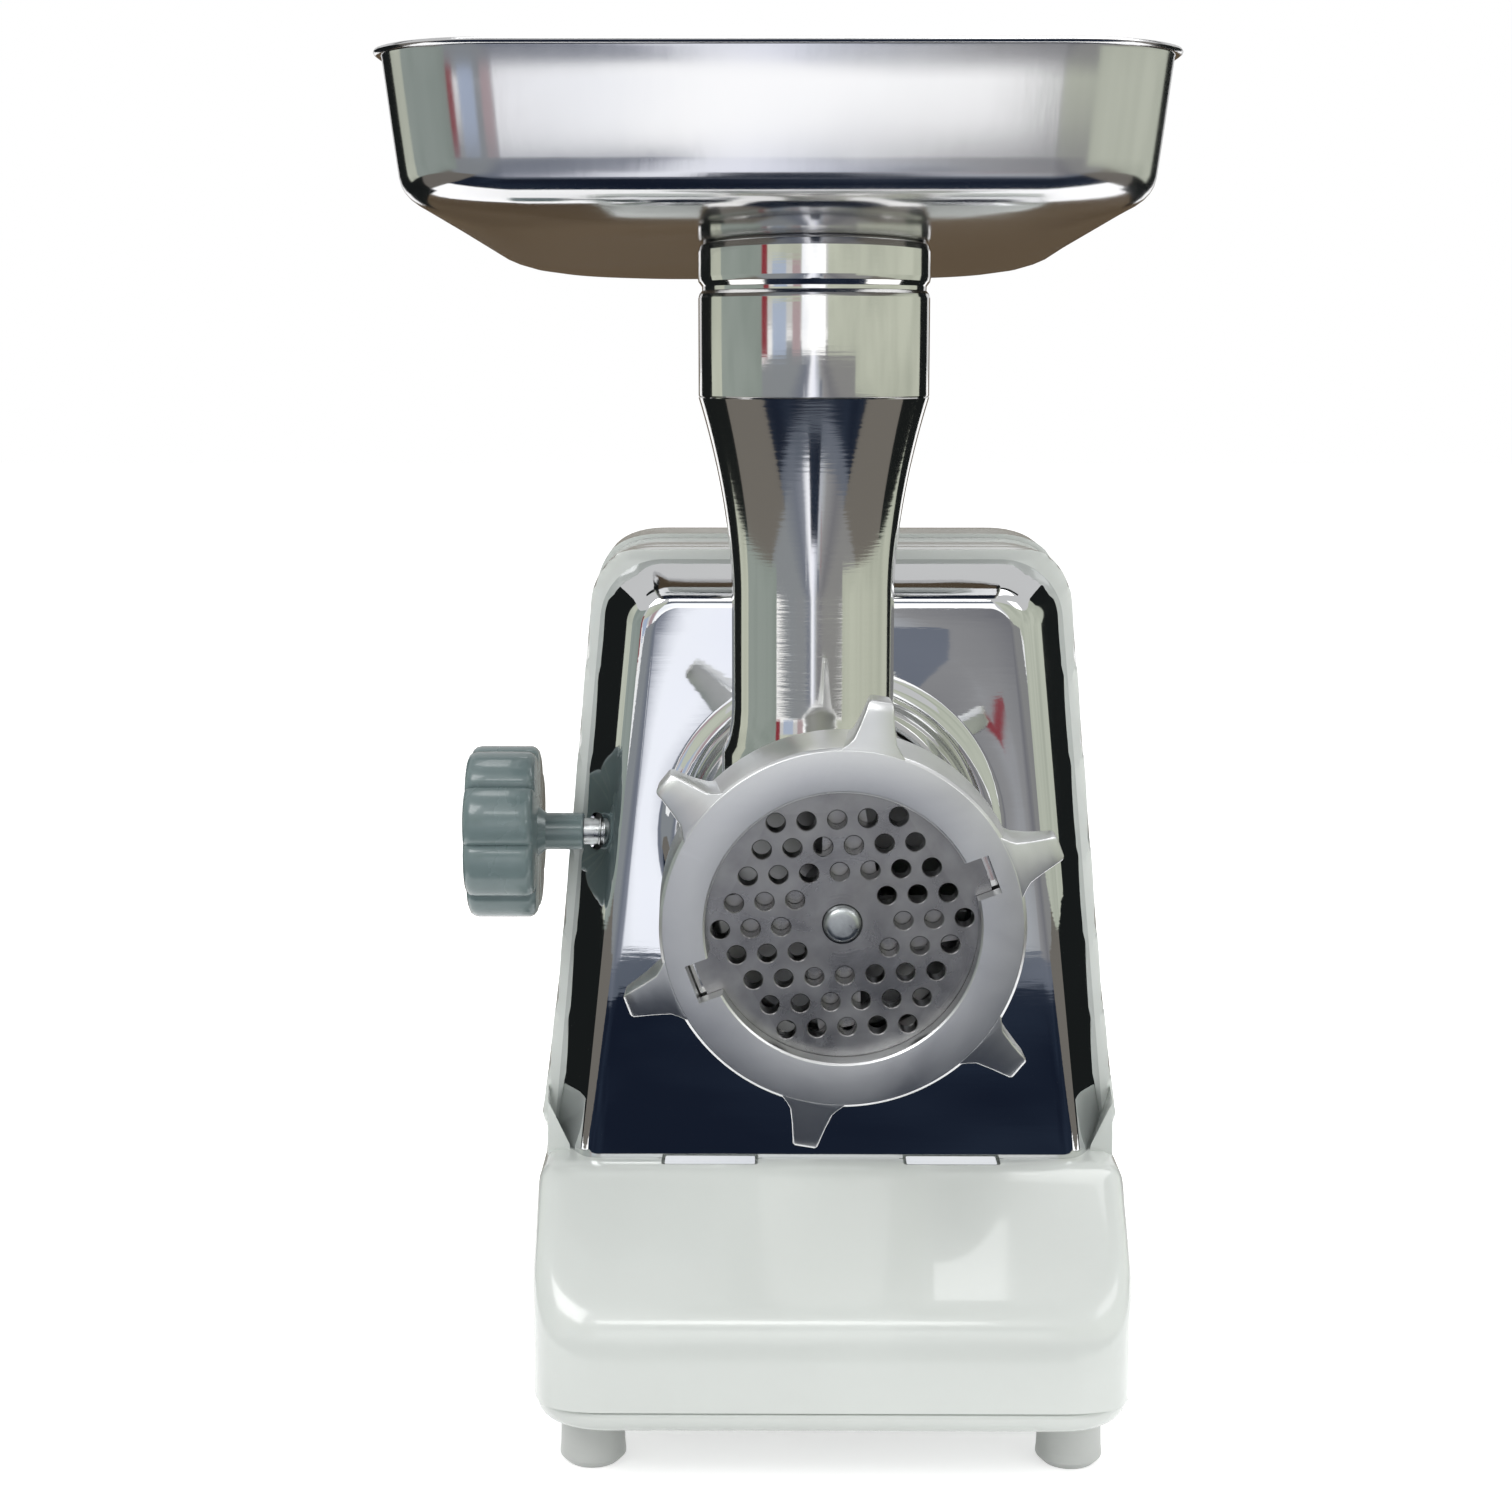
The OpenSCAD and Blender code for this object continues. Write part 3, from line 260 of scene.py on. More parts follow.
front_steel = grinder_metal("mirror_front_steel", (0.72, 0.73, 0.74), (0.8, 0.8, 0.8),
                            (0.02, 0.05), grain_scale=60, stretch=(1, 1, 9), depth=0.00001,
                            tint=0.04, waves=0.0009, reach=0.2)
buffed_steel = grinder_metal("buffed_throat_metal", (0.76, 0.755, 0.74), (0.82, 0.82, 0.8),
                             (0.06, 0.11), grain_scale=90, stretch=(1, 1, 12), depth=0.00002,
                             tint=0.05, waves=0.0003, reach=0.2)
tray_steel = grinder_metal("drawn_tray_steel", (0.70, 0.70, 0.71), (0.8, 0.8, 0.8), (0.10, 0.19),
                           grain_scale=260, stretch=(1, 1, 0.2), depth=0.00002, cloud_scale=14,
                           tint=0.08, waves=0.0012, reach=0.2)
satin_casting = grinder_metal("satin_cast_aluminium", (0.76, 0.77, 0.775), (0.86, 0.87, 0.88),
                              (0.28, 0.40), grain_scale=1600, depth=0.000015, cloud_scale=30,
                              tint=0.22, lathe=0.5, lathe_lines=1500, reach=0.03)
ground_plate = grinder_metal("ground_plate_steel", (0.25, 0.245, 0.25), (0.5, 0.5, 0.5),
                             (0.24, 0.38), grain_scale=1800, depth=0.000012, cloud_scale=80,
                             tint=0.3, lathe=1.2, lathe_lines=2200, reach=0.02)
zinc = grinder_metal("zinc_plating", (0.60, 0.63, 0.64), (0.8, 0.82, 0.82), (0.25, 0.42),
                     grain_scale=2400, depth=0.00004, cloud_scale=260, tint=0.35)
print("bright metals ready")
# %% Working metals inside the housing
gear_steel = grinder_metal("gear_steel", (0.34, 0.34, 0.35), (0.6, 0.6, 0.6), (0.25, 0.4),
                           cloud_scale=50, tint=0.2)
raw_casting = grinder_metal("raw_cast_aluminium", (0.50, 0.51, 0.52), (0.66, 0.67, 0.68),
                            (0.42, 0.58), grain_scale=1300, depth=0.00012, tint=0.18)
bronze = grinder_metal("sintered_bronze", (0.55, 0.36, 0.17), (0.7, 0.5, 0.28), (0.35, 0.5),
                       grain_scale=3000, depth=0.00004, tint=0.2)
lamination = grinder_metal("stacked_lamination", (0.2, 0.2, 0.21), (0.4, 0.4, 0.42), (0.4, 0.55),
                           grain_scale=900, stretch=(0.02, 1.6, 0.02), depth=0.0002)
copper = grinder_metal("enamelled_copper", (0.55, 0.22, 0.08), (0.75, 0.4, 0.2), (0.25, 0.4),
                       grain_scale=1500, stretch=(1, 0.1, 1), depth=0.0003)
carbon = grinder_finish("brush_carbon", (0.03, 0.03, 0.032), (0.1, 0.1, 0.1), (0.55, 0.7))
screw_steel = grinder_metal("screw_steel", (0.5, 0.5, 0.5), (0.75, 0.75, 0.75), (0.22, 0.36),
                            cloud_scale=160, tint=0.2)
print("working metals ready")

# %% [markdown]
# ## Dressing what keeps its engineering shape
# Gears, shafts, the motor and the screws are right as they are and mostly hidden. They only need
# a finish, given to the material slots of the engineering objects.
# %% Finishes on engineering pieces
dressed = {
    raw_casting: ["gearbox_case", "gearbox_cover", "motor_bracket"],
    bronze: ["output_bush", "shaft_bushes"],
    lamination: ["motor_stator", "armature"],
    copper: ["stator_coils", "commutator"],
    carbon: ["brushes"],
    gear_steel: ["output_shaft", "output_gear", "middle_gear", "middle_pinion", "first_pinion",
                 "rotor_shaft"],
    nylon: ["first_gear", "thrust_washer"],
    screw_steel: ["housing_screws", "gearbox_screws", "bracket_pillars", "foot_screws"],
    black_plastic: ["brush_holders", "cooling_fan", "switch_bezel", "cord_gland"],
    red_plastic: ["switch_rocker"],
    ground_plate: ["plate_key", "cross_blade", "cutting_plate"],
    zinc: ["auger_pin", "clamp_bolt"],
    satin_casting: ["auger", "ring_nut"],
    buffed_steel: ["grinder_head", "tray_neck"],
    tray_steel: ["tray_pan"],
    front_steel: ["front_cover"],
    white_gloss: ["front_housing", "rear_housing", "base_pan"],
    foot_plastic: ["foot_front_left", "foot_front_right", "foot_rear_left", "foot_rear_right"],
    knob_gloss: ["clamp_knob"],
}
for finish, names in dressed.items():
    for name in names:
        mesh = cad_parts[name].data
        mesh.materials.clear()
        mesh.materials.append(finish)
print("engineering pieces with a finish:", sum(len(n) for n in dressed.values()))

# %% [markdown]
# ## Mesh tools
# The visible pieces are rebuilt with softer edges and finer curves, in millimetres, and scaled to
# metres at the end. Outlines with rounded corners, revolved profiles and lofted sections cover
# nearly all of them. Shading is smooth, with sharp edges kept where faces meet at a real angle.
# %% Outlines
def rounded_outline(points, steps=10):
    """Closed outline from [a, b, corner radius], each corner an arc of steps + 1 points."""
    out, count = [], len(points)
    places = [np.array(p[:2], float) for p in points]
    for i, (here, radius) in enumerate(zip(places, [p[2] for p in points])):
        before, after = places[i - 1], places[(i + 1) % count]
        if radius <= 0:
            out.append(here)
            continue
        u = (before - here) / np.linalg.norm(before - here)
        v = (after - here) / np.linalg.norm(after - here)
        half = math.acos(max(-1.0, min(1.0, float(u @ v)))) / 2
        middle = here + (u + v) / np.linalg.norm(u + v) * radius / math.sin(half)
        x, y = here + u * radius / math.tan(half) - middle
        (a, b), (c, d) = here - before, after - here
        sweep = math.copysign(math.pi - 2 * half, a * d - b * c)
        for k in range(steps + 1):
            cos, sin = math.cos(sweep * k / steps), math.sin(sweep * k / steps)
            out.append(middle + np.array([x * cos - y * sin, x * sin + y * cos]))
    return np.array(out)


def rounded_rectangle(x, y, width, length, radius, steps=14):
    w, l = width / 2, length / 2
    return rounded_outline([[x - w, y - l, radius], [x + w, y - l, radius],
                            [x + w, y + l, radius], [x - w, y + l, radius]], steps)


print("outline tools ready")
# %% Objects from points and faces
def grinder_mesh(name, points, faces, finish, sharp=35):
    mesh = bpy.data.meshes.new(name)
    mesh.from_pydata([tuple(p) for p in np.asarray(points, float) * 0.001], [], faces)
    shell = bmesh.new()
    shell.from_mesh(mesh)
    bmesh.ops.remove_doubles(shell, verts=shell.verts, dist=1e-7)
    bmesh.ops.recalc_face_normals(shell, faces=shell.faces)
    shell.to_mesh(mesh)
    shell.free()
    mesh.materials.append(finish)
    mesh.shade_smooth()
    mesh.set_sharp_from_angle(angle=math.radians(sharp))
    made = bpy.data.objects.new(name, mesh)
    scene.collection.objects.link(made)
    return made


def applied(piece, sharp=35):
    """The piece with its modifiers made into plain mesh."""
    depsgraph = bpy.context.evaluated_depsgraph_get()
    mesh = bpy.data.meshes.new_from_object(piece.evaluated_get(depsgraph), depsgraph=depsgraph)
    piece.modifiers.clear()
    piece.data = mesh
    mesh.shade_smooth()
    mesh.set_sharp_from_angle(angle=math.radians(sharp))
    return piece


def carved(piece, tool, action="DIFFERENCE", sharp=35):
    cut = piece.modifiers.new("cut", "BOOLEAN")
    cut.operation, cut.object, cut.solver = action, tool, "EXACT"
    applied(piece, sharp)
    bpy.data.objects.remove(tool)
    return piece


def placed(piece, body, slot, *stands_for):
    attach(piece, body)
    if stands_for:
        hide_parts(*stands_for)
    print(f"{piece.name}: {len(piece.data.polygons)} faces on {body}")
    return piece


# %% Lofts and revolved shapes
def ring_faces(rings, count, closed_ends=True, loop=False):
    """Quads between stacked rings of count points, with end caps."""
    faces = []
    for k in range(rings if loop else rings - 1):
        a, b = k * count, ((k + 1) % rings) * count
        faces += [(a + i, a + (i + 1) % count, b + (i + 1) % count, b + i) for i in range(count)]
    if closed_ends and not loop:
        faces += [tuple(range(count)), tuple(range((rings - 1) * count, rings * count))]
    return faces


def softened(profile, radius=0.4, steps=3):
    """Closed profile [r, h] with every corner rounded as far as its sides allow."""
    count, out = len(profile), []
    for i, (r, h) in enumerate(profile):
        here = np.array([r, h], float)
        a = np.linalg.norm(np.array(profile[i - 1][:2]) - here)
        b = np.linalg.norm(np.array(profile[(i + 1) % count][:2]) - here)
        out.append([r, h, max(0.0, min(radius, 0.3 * a, 0.3 * b))])
    return rounded_outline(out, steps)


def revolved(name, profile, centre, axis, finish, segments=96, sharp=35):
    """Closed profile of [radius, height] turned round Z or Y through centre."""
    profile = np.asarray(profile, float)
    turn = np.linspace(0, 2 * math.pi, segments, endpoint=False)
    points = []
    for a in turn:
        u, v = profile[:, 0] * math.cos(a), profile[:, 0] * math.sin(a)
        if axis == "Z":
            points.append(np.stack([centre[0] + u, centre[1] + v, profile[:, 1]], 1))
        elif axis == "Y":
            points.append(np.stack([centre[0] + u, profile[:, 1], centre[1] + v], 1))
        else:
            points.append(np.stack([profile[:, 1], centre[0] + u, centre[1] + v], 1))
    faces = ring_faces(segments, len(profile), loop=True)
    return grinder_mesh(name, np.concatenate(points), faces, finish, sharp)


print("mesh tools ready")

# %% [markdown]
# ## Housing
# The two mouldings are one fat rounded form, cut across behind the steel front. A box with bevels
# gives hard, mitred corners where the sloping base meets its sides. So the form is written as three
# outlines (front, side, plan), each as a signed distance, joined by a rounded maximum: the points
# of an even skin are slid along the gradient until that distance is zero.
# %% Outlines of the housing
HOUSING_W, HOUSING_TOP_W, HOUSING_H, BACK, REACH, SHELF = 160, 128, 244, 176, 41, 79
COVER_DEPTH, BASE_FRONT, BOTTOM, SPLIT, STEP, WALL = 20, 46, 23.1, 64, 1.2, 2.5
SOFT, LIP_SOFT = 7.0, 1.3                # how far an edge rounds: anywhere, and at the steel front
SHARED = SOFT * (1 - 1 / math.sqrt(2))   # where two outlines share a face, it rounds in by this
AXIS_Z, TAB_X = 168.0, 33                # height of the auger's axis, place of the two tabs
AXIS, BOLT, THROAT = (0.0, AXIS_Z), (11.0, AXIS_Z), (-6.0, -41.0)


def front_outline(g):
    w, t, top = HOUSING_W / 2 - g, HOUSING_TOP_W / 2 - g, HOUSING_H + SHARED - g
    r = 17.5 - min(g, 6)
    right = [[w + SHARED - 0.3, -20, 0], [w + SHARED - 0.3, SHELF, 0], [w - 0.4, SHELF + 14, 0],
             [w - 4.3, SHELF + 45, 0], [t, top, r]]
    return rounded_outline(right + [[-x, z, r] for x, z, r in reversed(right)])


def side_outline(g):
    front, back, top = -REACH - SHARED + g, BACK + SHARED - g, HOUSING_H - g
    return rounded_outline([[front, -20, 0], [front, BASE_FRONT - 1.5 - g, 11],
                            [-6, SHELF - g, 9], [COVER_DEPTH + g, SHELF - g, 0],
                            [COVER_DEPTH + g, top, 0], [24 + g, top, 0], [36, top + SHARED, 0],
                            [BACK - 62, top + SHARED, 60], [back, SHELF + 90, 46], [back, -20, 0]])


def plan_outline(g):
    f, r = 22 - min(g, 5), 28 - min(g, 5)
    w, front, back = HOUSING_W / 2 + SHARED - g, -REACH - SHARED + g, BACK + SHARED - g
    return rounded_outline([[-w, front, f], [w, front, f], [w, back, r], [-w, back, r]])


housing_lines = (front_outline(0), side_outline(0), plan_outline(0))
print("housing outlines:", [len(line) for line in housing_lines], "points")
# %% Distance to the rounded form
def outline_distance(p, outline):
    """Signed distance of the points p to a closed outline, negative inside."""
    best = np.full(len(p), 1e9)
    inside = np.zeros(len(p), bool)
    for a, b in zip(outline, np.roll(outline, -1, 0)):
        edge, arm = b - a, p - a
        t = np.clip(arm @ edge / (edge @ edge), 0, 1)
        best = np.minimum(best, ((arm - t[:, None] * edge) ** 2).sum(1))
        crosses = ((a[1] <= p[:, 1]) != (b[1] <= p[:, 1]))
        if abs(edge[1]) > 1e-9:
            inside ^= crosses & (p[:, 0] < a[0] + (p[:, 1] - a[1]) * edge[0] / edge[1])
    return np.sqrt(best) * np.where(inside, -1, 1)


def housing_distance(p, outlines):
    """Rounded maximum of the three distances; tight round the steel front, soft elsewhere."""
    front, side, plan = outlines
    d = np.stack([outline_distance(p[:, [0, 2]], front), outline_distance(p[:, [1, 2]], side),
                  outline_distance(p[:, [0, 1]], plan)])
    near_lip = np.clip((34 - p[:, 1]) / 10, 0, 1) * np.clip((p[:, 2] - SHELF - 1) / 5, 0, 1)
    soft = SOFT + (LIP_SOFT - SOFT) * near_lip
    grown = d + soft
    return np.minimum(grown.max(0), 0) + np.linalg.norm(np.maximum(grown, 0), axis=0) - soft


print("distance at the middle of the housing:",
      housing_distance(np.array([[0, 90, 120.0]]), housing_lines))
# %% Solid between the three outlines
def prism(name, outline, low, high, lay):
    """Outline extruded from low to high; lay turns (a, b, depth) into x, y, z."""
    points = [lay(a, b, h) for h in (low, high) for a, b in outline]
    return grinder_mesh(name, points, ring_faces(2, len(outline)), white_gloss)


def across(a, b, h):
    return a, h, b


def along(a, b, h):
    return h, a, b


def upright(a, b, h):
    return a, b, h


def housing_solid(name, grow):
    made = prism(name, front_outline(grow), -90, 230, across)
    carved(made, prism("side", side_outline(grow), -120, 120, along), "INTERSECT")
    return carved(made, prism("plan", plan_outline(grow), 0, 300, upright), "INTERSECT")


def housing_skin(name, grow, voxel=2.4):
    made = housing_solid(name, grow)
    skin = made.modifiers.new("skin", "REMESH")
    skin.mode, skin.voxel_size = "VOXEL", voxel * 0.001
    applied(made)
    p = np.array([v.co for v in made.data.vertices]) * 1000
    outlines = [front_outline(grow), side_outline(grow), plan_outline(grow)]
    for _ in range(5):
        here = housing_distance(p, outlines)
        slope = np.stack([housing_distance(p + 0.05 * np.eye(3)[k], outlines) - here
                          for k in range(3)], 1) / 0.05
        move = here[:, None] * slope / np.maximum((slope ** 2).sum(1), 0.25)[:, None]
        move[:, 2] *= p[:, 2] > BOTTOM - 8
        p = p - np.clip(move, -3, 3)
    made.data.vertices.foreach_set("co", (p * 0.001).ravel())
    made.data.update()
    return made


front_moulding = housing_skin("front_moulding", 0)
rear_moulding = housing_skin("rear_moulding", -STEP)
print("housing skins:", len(front_moulding.data.polygons), "and", len(rear_moulding.data.polygons))

# %% [markdown]
# ### Hollowing and opening the mouldings
# A moulding is a shell, so the inside is cut out with the same outlines a wall further in. The
# openings follow: the hole for the gearbox neck, the tab slots in the shelf, the vents, the
# switch and the cord gland. The rows of slots repeat, so Geometry Nodes make their cutters.
# %% Geometry tree for a row of slots
def geometry_tree(name, sizes):
    tree = bpy.data.node_groups.new(name, "GeometryNodeTree")
    tree.interface.new_socket("Geometry", in_out="OUTPUT", socket_type="NodeSocketGeometry")
    tree.interface.new_socket("Geometry", in_out="INPUT", socket_type="NodeSocketGeometry")
    for label, kind in sizes:
        tree.interface.new_socket(label, in_out="INPUT", socket_type=kind)
    return tree, tree.nodes.new("NodeGroupInput"), tree.nodes.new("NodeGroupOutput")


def finished_tree(tree, outlet, shape, finish):
    real = add_node(tree, "GeometryNodeRealizeInstances", {"Geometry": shape})
    coat = add_node(tree, "GeometryNodeSetMaterial", {"Geometry": real.outputs[0]})
    coat.inputs["Material"].default_value = finish
    tree.links.new(coat.outputs[0], outlet.inputs["Geometry"])


def grown(name, tree, values, place, sharp=35):
    """Plain mesh made by a geometry tree in millimetres, put in place by a matrix."""
    made = bpy.data.objects.new(name, bpy.data.meshes.new(name))
    scene.collection.objects.link(made)
    modifier = made.modifiers.new("grow", "NODES")
    modifier.node_group = tree
    sockets = {s.name: s.identifier for s in tree.interface.items_tree if s.in_out == "INPUT"}
    for label, value in values.items():
        modifier[sockets[label]] = value
    applied(made, sharp)
    made.data.transform(Matrix.Scale(0.001, 4) @ place)
    return made


slots, slots_in, slots_out = geometry_tree("slot_row", [
    ("Count", COUNT), ("Pitch", FLOAT), ("Length", FLOAT), ("Width", FLOAT), ("Depth", FLOAT)])
step = add_node(slots, "ShaderNodeCombineXYZ", {"X": slots_in.outputs["Pitch"]})
row = add_node(slots, "GeometryNodeMeshLine", {"Count": slots_in.outputs["Count"],
               "Offset": step.outputs[0]})
opening = add_node(slots, "GeometryNodeCurvePrimitiveQuadrilateral",
                   {"Width": slots_in.outputs["Width"], "Height": slots_in.outputs["Length"]})
eased = add_node(slots, "GeometryNodeFilletCurve", {
    "Curve": opening.outputs[0], "Count": 6,
    "Radius": calc(slots, "MULTIPLY", slots_in.outputs["Width"], 0.49)}, mode="POLY")
filled = add_node(slots, "GeometryNodeFillCurve", {"Curve": eased.outputs[0]}, mode="NGONS")
deep = add_node(slots, "GeometryNodeExtrudeMesh", {"Mesh": filled.outputs[0],
                "Offset Scale": slots_in.outputs["Depth"], "Individual": False})
turned_over = add_node(slots, "GeometryNodeFlipFaces", {"Mesh": filled.outputs[0]})
both = add_node(slots, "GeometryNodeJoinGeometry")
slots.links.new(deep.outputs["Mesh"], both.inputs[0])
slots.links.new(turned_over.outputs[0], both.inputs[0])
welded = add_node(slots, "GeometryNodeMergeByDistance", {"Geometry": both.outputs[0],
                  "Distance": 0.001})
copies = add_node(slots, "GeometryNodeInstanceOnPoints", {"Points": row.outputs[0],
                  "Instance": welded.outputs[0]})
finished_tree(slots, slots_out, copies.outputs[0], white_gloss)
print("slot tree:", len(slots.nodes), "nodes")
# %% Cutting the two mouldings
def slot_row(count, pitch, length, width, depth, place):
    return grown("slots", slots, {"Count": count, "Pitch": float(pitch), "Length": float(length),
                                  "Width": float(width), "Depth": float(depth)}, place)


def block(low, high, radius=0.0):
    (x0, y0, z0), (x1, y1, z1) = low, high
    outline = rounded_rectangle((x0 + x1) / 2, (y0 + y1) / 2, x1 - x0, y1 - y0, radius, 4)
    return prism("block", outline, z0, z1, upright)


def edited(piece, change=None):
    """The piece after a change to its form, with every face turned outwards again."""
    form = bmesh.new()
    form.from_mesh(piece.data)
    if change:
        change(form)
    bmesh.ops.recalc_face_normals(form, faces=form.faces)
    form.to_mesh(piece.data)
    form.free()
    return piece


def sliced(piece, point, normal):
    """Cut a closed form at a plane, drop what lies on the normal's side and close it again."""
    def cut(form):
        made = bmesh.ops.bisect_plane(
            form, geom=form.verts[:] + form.edges[:] + form.faces[:],
            plane_co=Vector(point) * 0.001, plane_no=normal, clear_outer=True)
        rim = [e for e in made["geom_cut"] if isinstance(e, bmesh.types.BMEdge)]
        bmesh.ops.holes_fill(form, edges=rim, sides=0)
    return edited(piece, cut)


sliced(front_moulding, (0, SPLIT - 0.2, 0), (0, 1, 0))
sliced(rear_moulding, (0, SPLIT, 0), (0, -1, 0))
for moulding, grow in ((front_moulding, WALL), (rear_moulding, WALL - STEP)):
    sliced(moulding, (0, 0, BOTTOM), (0, 0, -1))
    carved(moulding, housing_skin("hollow", grow, 4.0))
for side in (-1, 1):
    near = [(78.2, 76), (71.4, 76), (72.0, 80.5), (77.2, 91.5), (77.9, 92.5)]
    far = [(79.2, 76), (78.3, 76), (78.3, 81), (78.5, 92.5), (78.8, 94)]
    gusset = grinder_mesh("gusset", [(side * x, y, z) for y, row in ((7.5, near), (20.5, far))
                                     for x, z in row], ring_faces(2, 5), white_gloss)
    edited(gusset)
    eased = gusset.modifiers.new("eased", "BEVEL")
    eased.width, eased.segments = 0.0008, 3
    applied(gusset)
    carved(front_moulding, gusset, "UNION")
neck_hole = [[0, 15], [34, 15], [34, 40], [0, 40]]
carved(front_moulding, revolved("neck_hole", neck_hole, AXIS, "Y", white_gloss))
for x in (-TAB_X, TAB_X):
    for half, y0, y1, z, radius in ((14.25, -0.25, 1.25, 73, 0), (13.2, -4.4, 1.0, 77.4, 0.8)):
        carved(front_moulding, block((x - half, y0, z), (x + half, y1, SHELF + 4), radius))
for moulding in (front_moulding, rear_moulding):
    reach = np.array([v.co for v in moulding.data.vertices]) * 1000
    print(moulding.name, len(reach), "points, box in mm",
          reach.min(0).round(1), reach.max(0).round(1))
# %% Vents, switch opening and gland hole
VENT_PITCH, SWITCH_LOW, SWITCH_HIGH = 6, (-47, 168, 115), (-25, 190, 145)
for side in (-1, 1):
    back_rows = Matrix.Translation((side * 12, 166, 51.5)) @ Matrix(
        ((0, 1, 0, 0), (0, 0, 1, 0), (1, 0, 0, 0), (0, 0, 0, 1)))
    carved(rear_moulding, slot_row(7, VENT_PITCH, 20, 3, 20, back_rows))
    side_rows = Matrix.Translation((side * 80 - 8, 99, 55)) @ Matrix(
        ((0, 0, 1, 0), (1, 0, 0, 0), (0, 1, 0, 0), (0, 0, 0, 1)))
    carved(rear_moulding, slot_row(7, VENT_PITCH, 26, 3, 16, side_rows))
carved(rear_moulding, block(SWITCH_LOW, SWITCH_HIGH))
gland_hole = [[0, 160], [7, 160], [7, 190], [0, 190]]
carved(rear_moulding, revolved("gland_hole", gland_hole, (40, 40), "Y", white_gloss))
placed(front_moulding, "housing", "white_plastic", "front_housing")
placed(rear_moulding, "housing", "white_plastic", "rear_housing")

# %% [markdown]
# ### Base pan and feet
# A separate pan closes the housing from below, with a turned-up edge that leaves a dark groove
# under the moulding. It is a loft of plan outlines whose steps follow a quarter round.
# %% Base pan
pan_profile = [(9, 16.5), (5.2, 16.5), (4.0, 16.62), (2.9, 17.0), (2.0, 17.6), (1.4, 18.4),
               (1.0, 19.4), (0.7, 20.8), (0.6, 22.2), (0.9, 22.5), (1.5, 22.5)]
pan_rings = [[(x, y, z) for x, y in plan_outline(g + SHARED)] for g, z in pan_profile]
base_shell = grinder_mesh("base_shell", np.concatenate(pan_rings),
                          ring_faces(len(pan_rings), len(pan_rings[0])), white_gloss, 50)
tongue = prism("tongue", plan_outline(3.1 + SHARED), 21.5, 27.5, upright)
carved(tongue, prism("in", plan_outline(5.1 + SHARED), 22.5, 40, upright))
carved(base_shell, tongue, "UNION", 50)
vent_place = Matrix.Translation((0, 104.7, 14)) @ Matrix.Rotation(math.radians(90), 4, "Z")
carved(base_shell, slot_row(7, 5, 40, 2.4, 12, vent_place), sharp=50)
feet = {"front_left": (-64.5, -17), "rear_left": (-64.5, 150),
        "front_right": (64.5, -17), "rear_right": (64.5, 150)}
screw_hole = [[0, 10], [2, 10], [2, 30], [0, 30]]
for spot in feet.values():
    carved(base_shell, revolved("hole", screw_hole, spot, "Z", white_gloss, 24), sharp=50)
placed(base_shell, "housing", "white_plastic", "base_pan")
# %% Feet
foot_profile = softened([[2.0, 16.5], [2.0, 4.0], [4.2, 4.0], [4.2, 0.0], [7.0, 0.0], [9.0, 2.0],
                         [8.75, 4.5], [8.6, 9.0], [8.7, 14.5], [9.0, 16.5]], 0.8)
for name, spot in sorted(feet.items()):
    foot = revolved(f"soft_foot_{name}", foot_profile, spot, "Z", foot_plastic, 56)
    placed(foot, "housing", "foot_rubber", f"foot_{name}")

# %% [markdown]
# ## Pressed steel front
# One sheet, drawn about 20 mm deep: sides that slope in, tight bends, and a ring pressed round the
# neck that stiffens it. The mesh runs in rings from the neck hole outwards. The same number of
# points first follows circles, then the rounded outline of the flat, then the sloping sides.
# %% Steel front
def cover_section(slope):
    """Outline of the steel front once its sides have come in by slope."""
    w, t, top, r = 77.4 - slope, 61.4 - slope, 241.4 - 0.75 * slope, 17 - 0.7 * slope
    return rounded_outline([[-w, SHELF, 0.01], [w, SHELF, 0.01], [t, top, r], [-t, top, r]], 18)


weights = []
base_section = cover_section(0)
for i in range(len(base_section)):
    a, b = base_section[i], base_section[(i + 1) % len(base_section)]
    pieces = max(1, int(math.ceil(np.linalg.norm(b - a) / 5.0)))
    weights += [(i, k / pieces) for k in range(pieces)]


def spread_section(section):
    nxt = np.roll(section, -1, 0)
    return np.array([section[i] * (1 - t) + nxt[i] * t for i, t in weights])


print("points round the steel front:", len(weights))
# %% Bends and pressed ring of the steel front
cover_rings = []
for slope, depth in [(0, 20.0), (2.4, 15.2), (4.8, 10.4), (6.9, 6.2), (8.1, 3.9), (9.2, 2.2),
                     (10.4, 1.05), (11.8, 0.35), (13.4, 0.04), (15.0, 0.0)]:
    section = spread_section(cover_section(slope))
    cover_rings.append(np.stack([section[:, 0], np.full(len(section), depth), section[:, 1]], 1))
flat = cover_rings[-1]
angles = np.arctan2(flat[:, 2] - AXIS_Z, flat[:, 0])


def cover_circle(radius, depth):
    return np.stack([radius * np.cos(angles), np.full(len(angles), float(depth)),
                     AXIS_Z + radius * np.sin(angles)], 1)


cover_rings += [flat * (1 - share) + cover_circle(49, 0) * share for share in (0.33, 0.66)]
for radius, depth in [(47, 0), (46, -0.04), (45.2, -0.3), (44.3, -0.75), (43.4, -1.08),
                      (42.2, -1.2), (41, -1.2), (40.2, -1.08), (39.4, -0.72), (38.7, -0.25),
                      (38.0, -0.03), (37, 0), (35, 0), (34, 0.1), (33.5, 1.0)]:
    cover_rings.append(cover_circle(radius, depth))
SHEET = 0.0009   # metres
points = np.concatenate(cover_rings)
on_shelf = points[:, 2] < SHELF + 0.4
faces = [f for f in ring_faces(len(cover_rings), len(weights), closed_ends=False)
         if not all(on_shelf[list(f)])]
steel_front = grinder_mesh("mirror_front", points, faces, front_steel, 60)
if sum(p.normal.y for p in steel_front.data.polygons) > 0:
    steel_front.data.flip_normals()
wall = steel_front.modifiers.new("wall", "SOLIDIFY")
wall.thickness, wall.offset = SHEET, -1
applied(steel_front, 60)
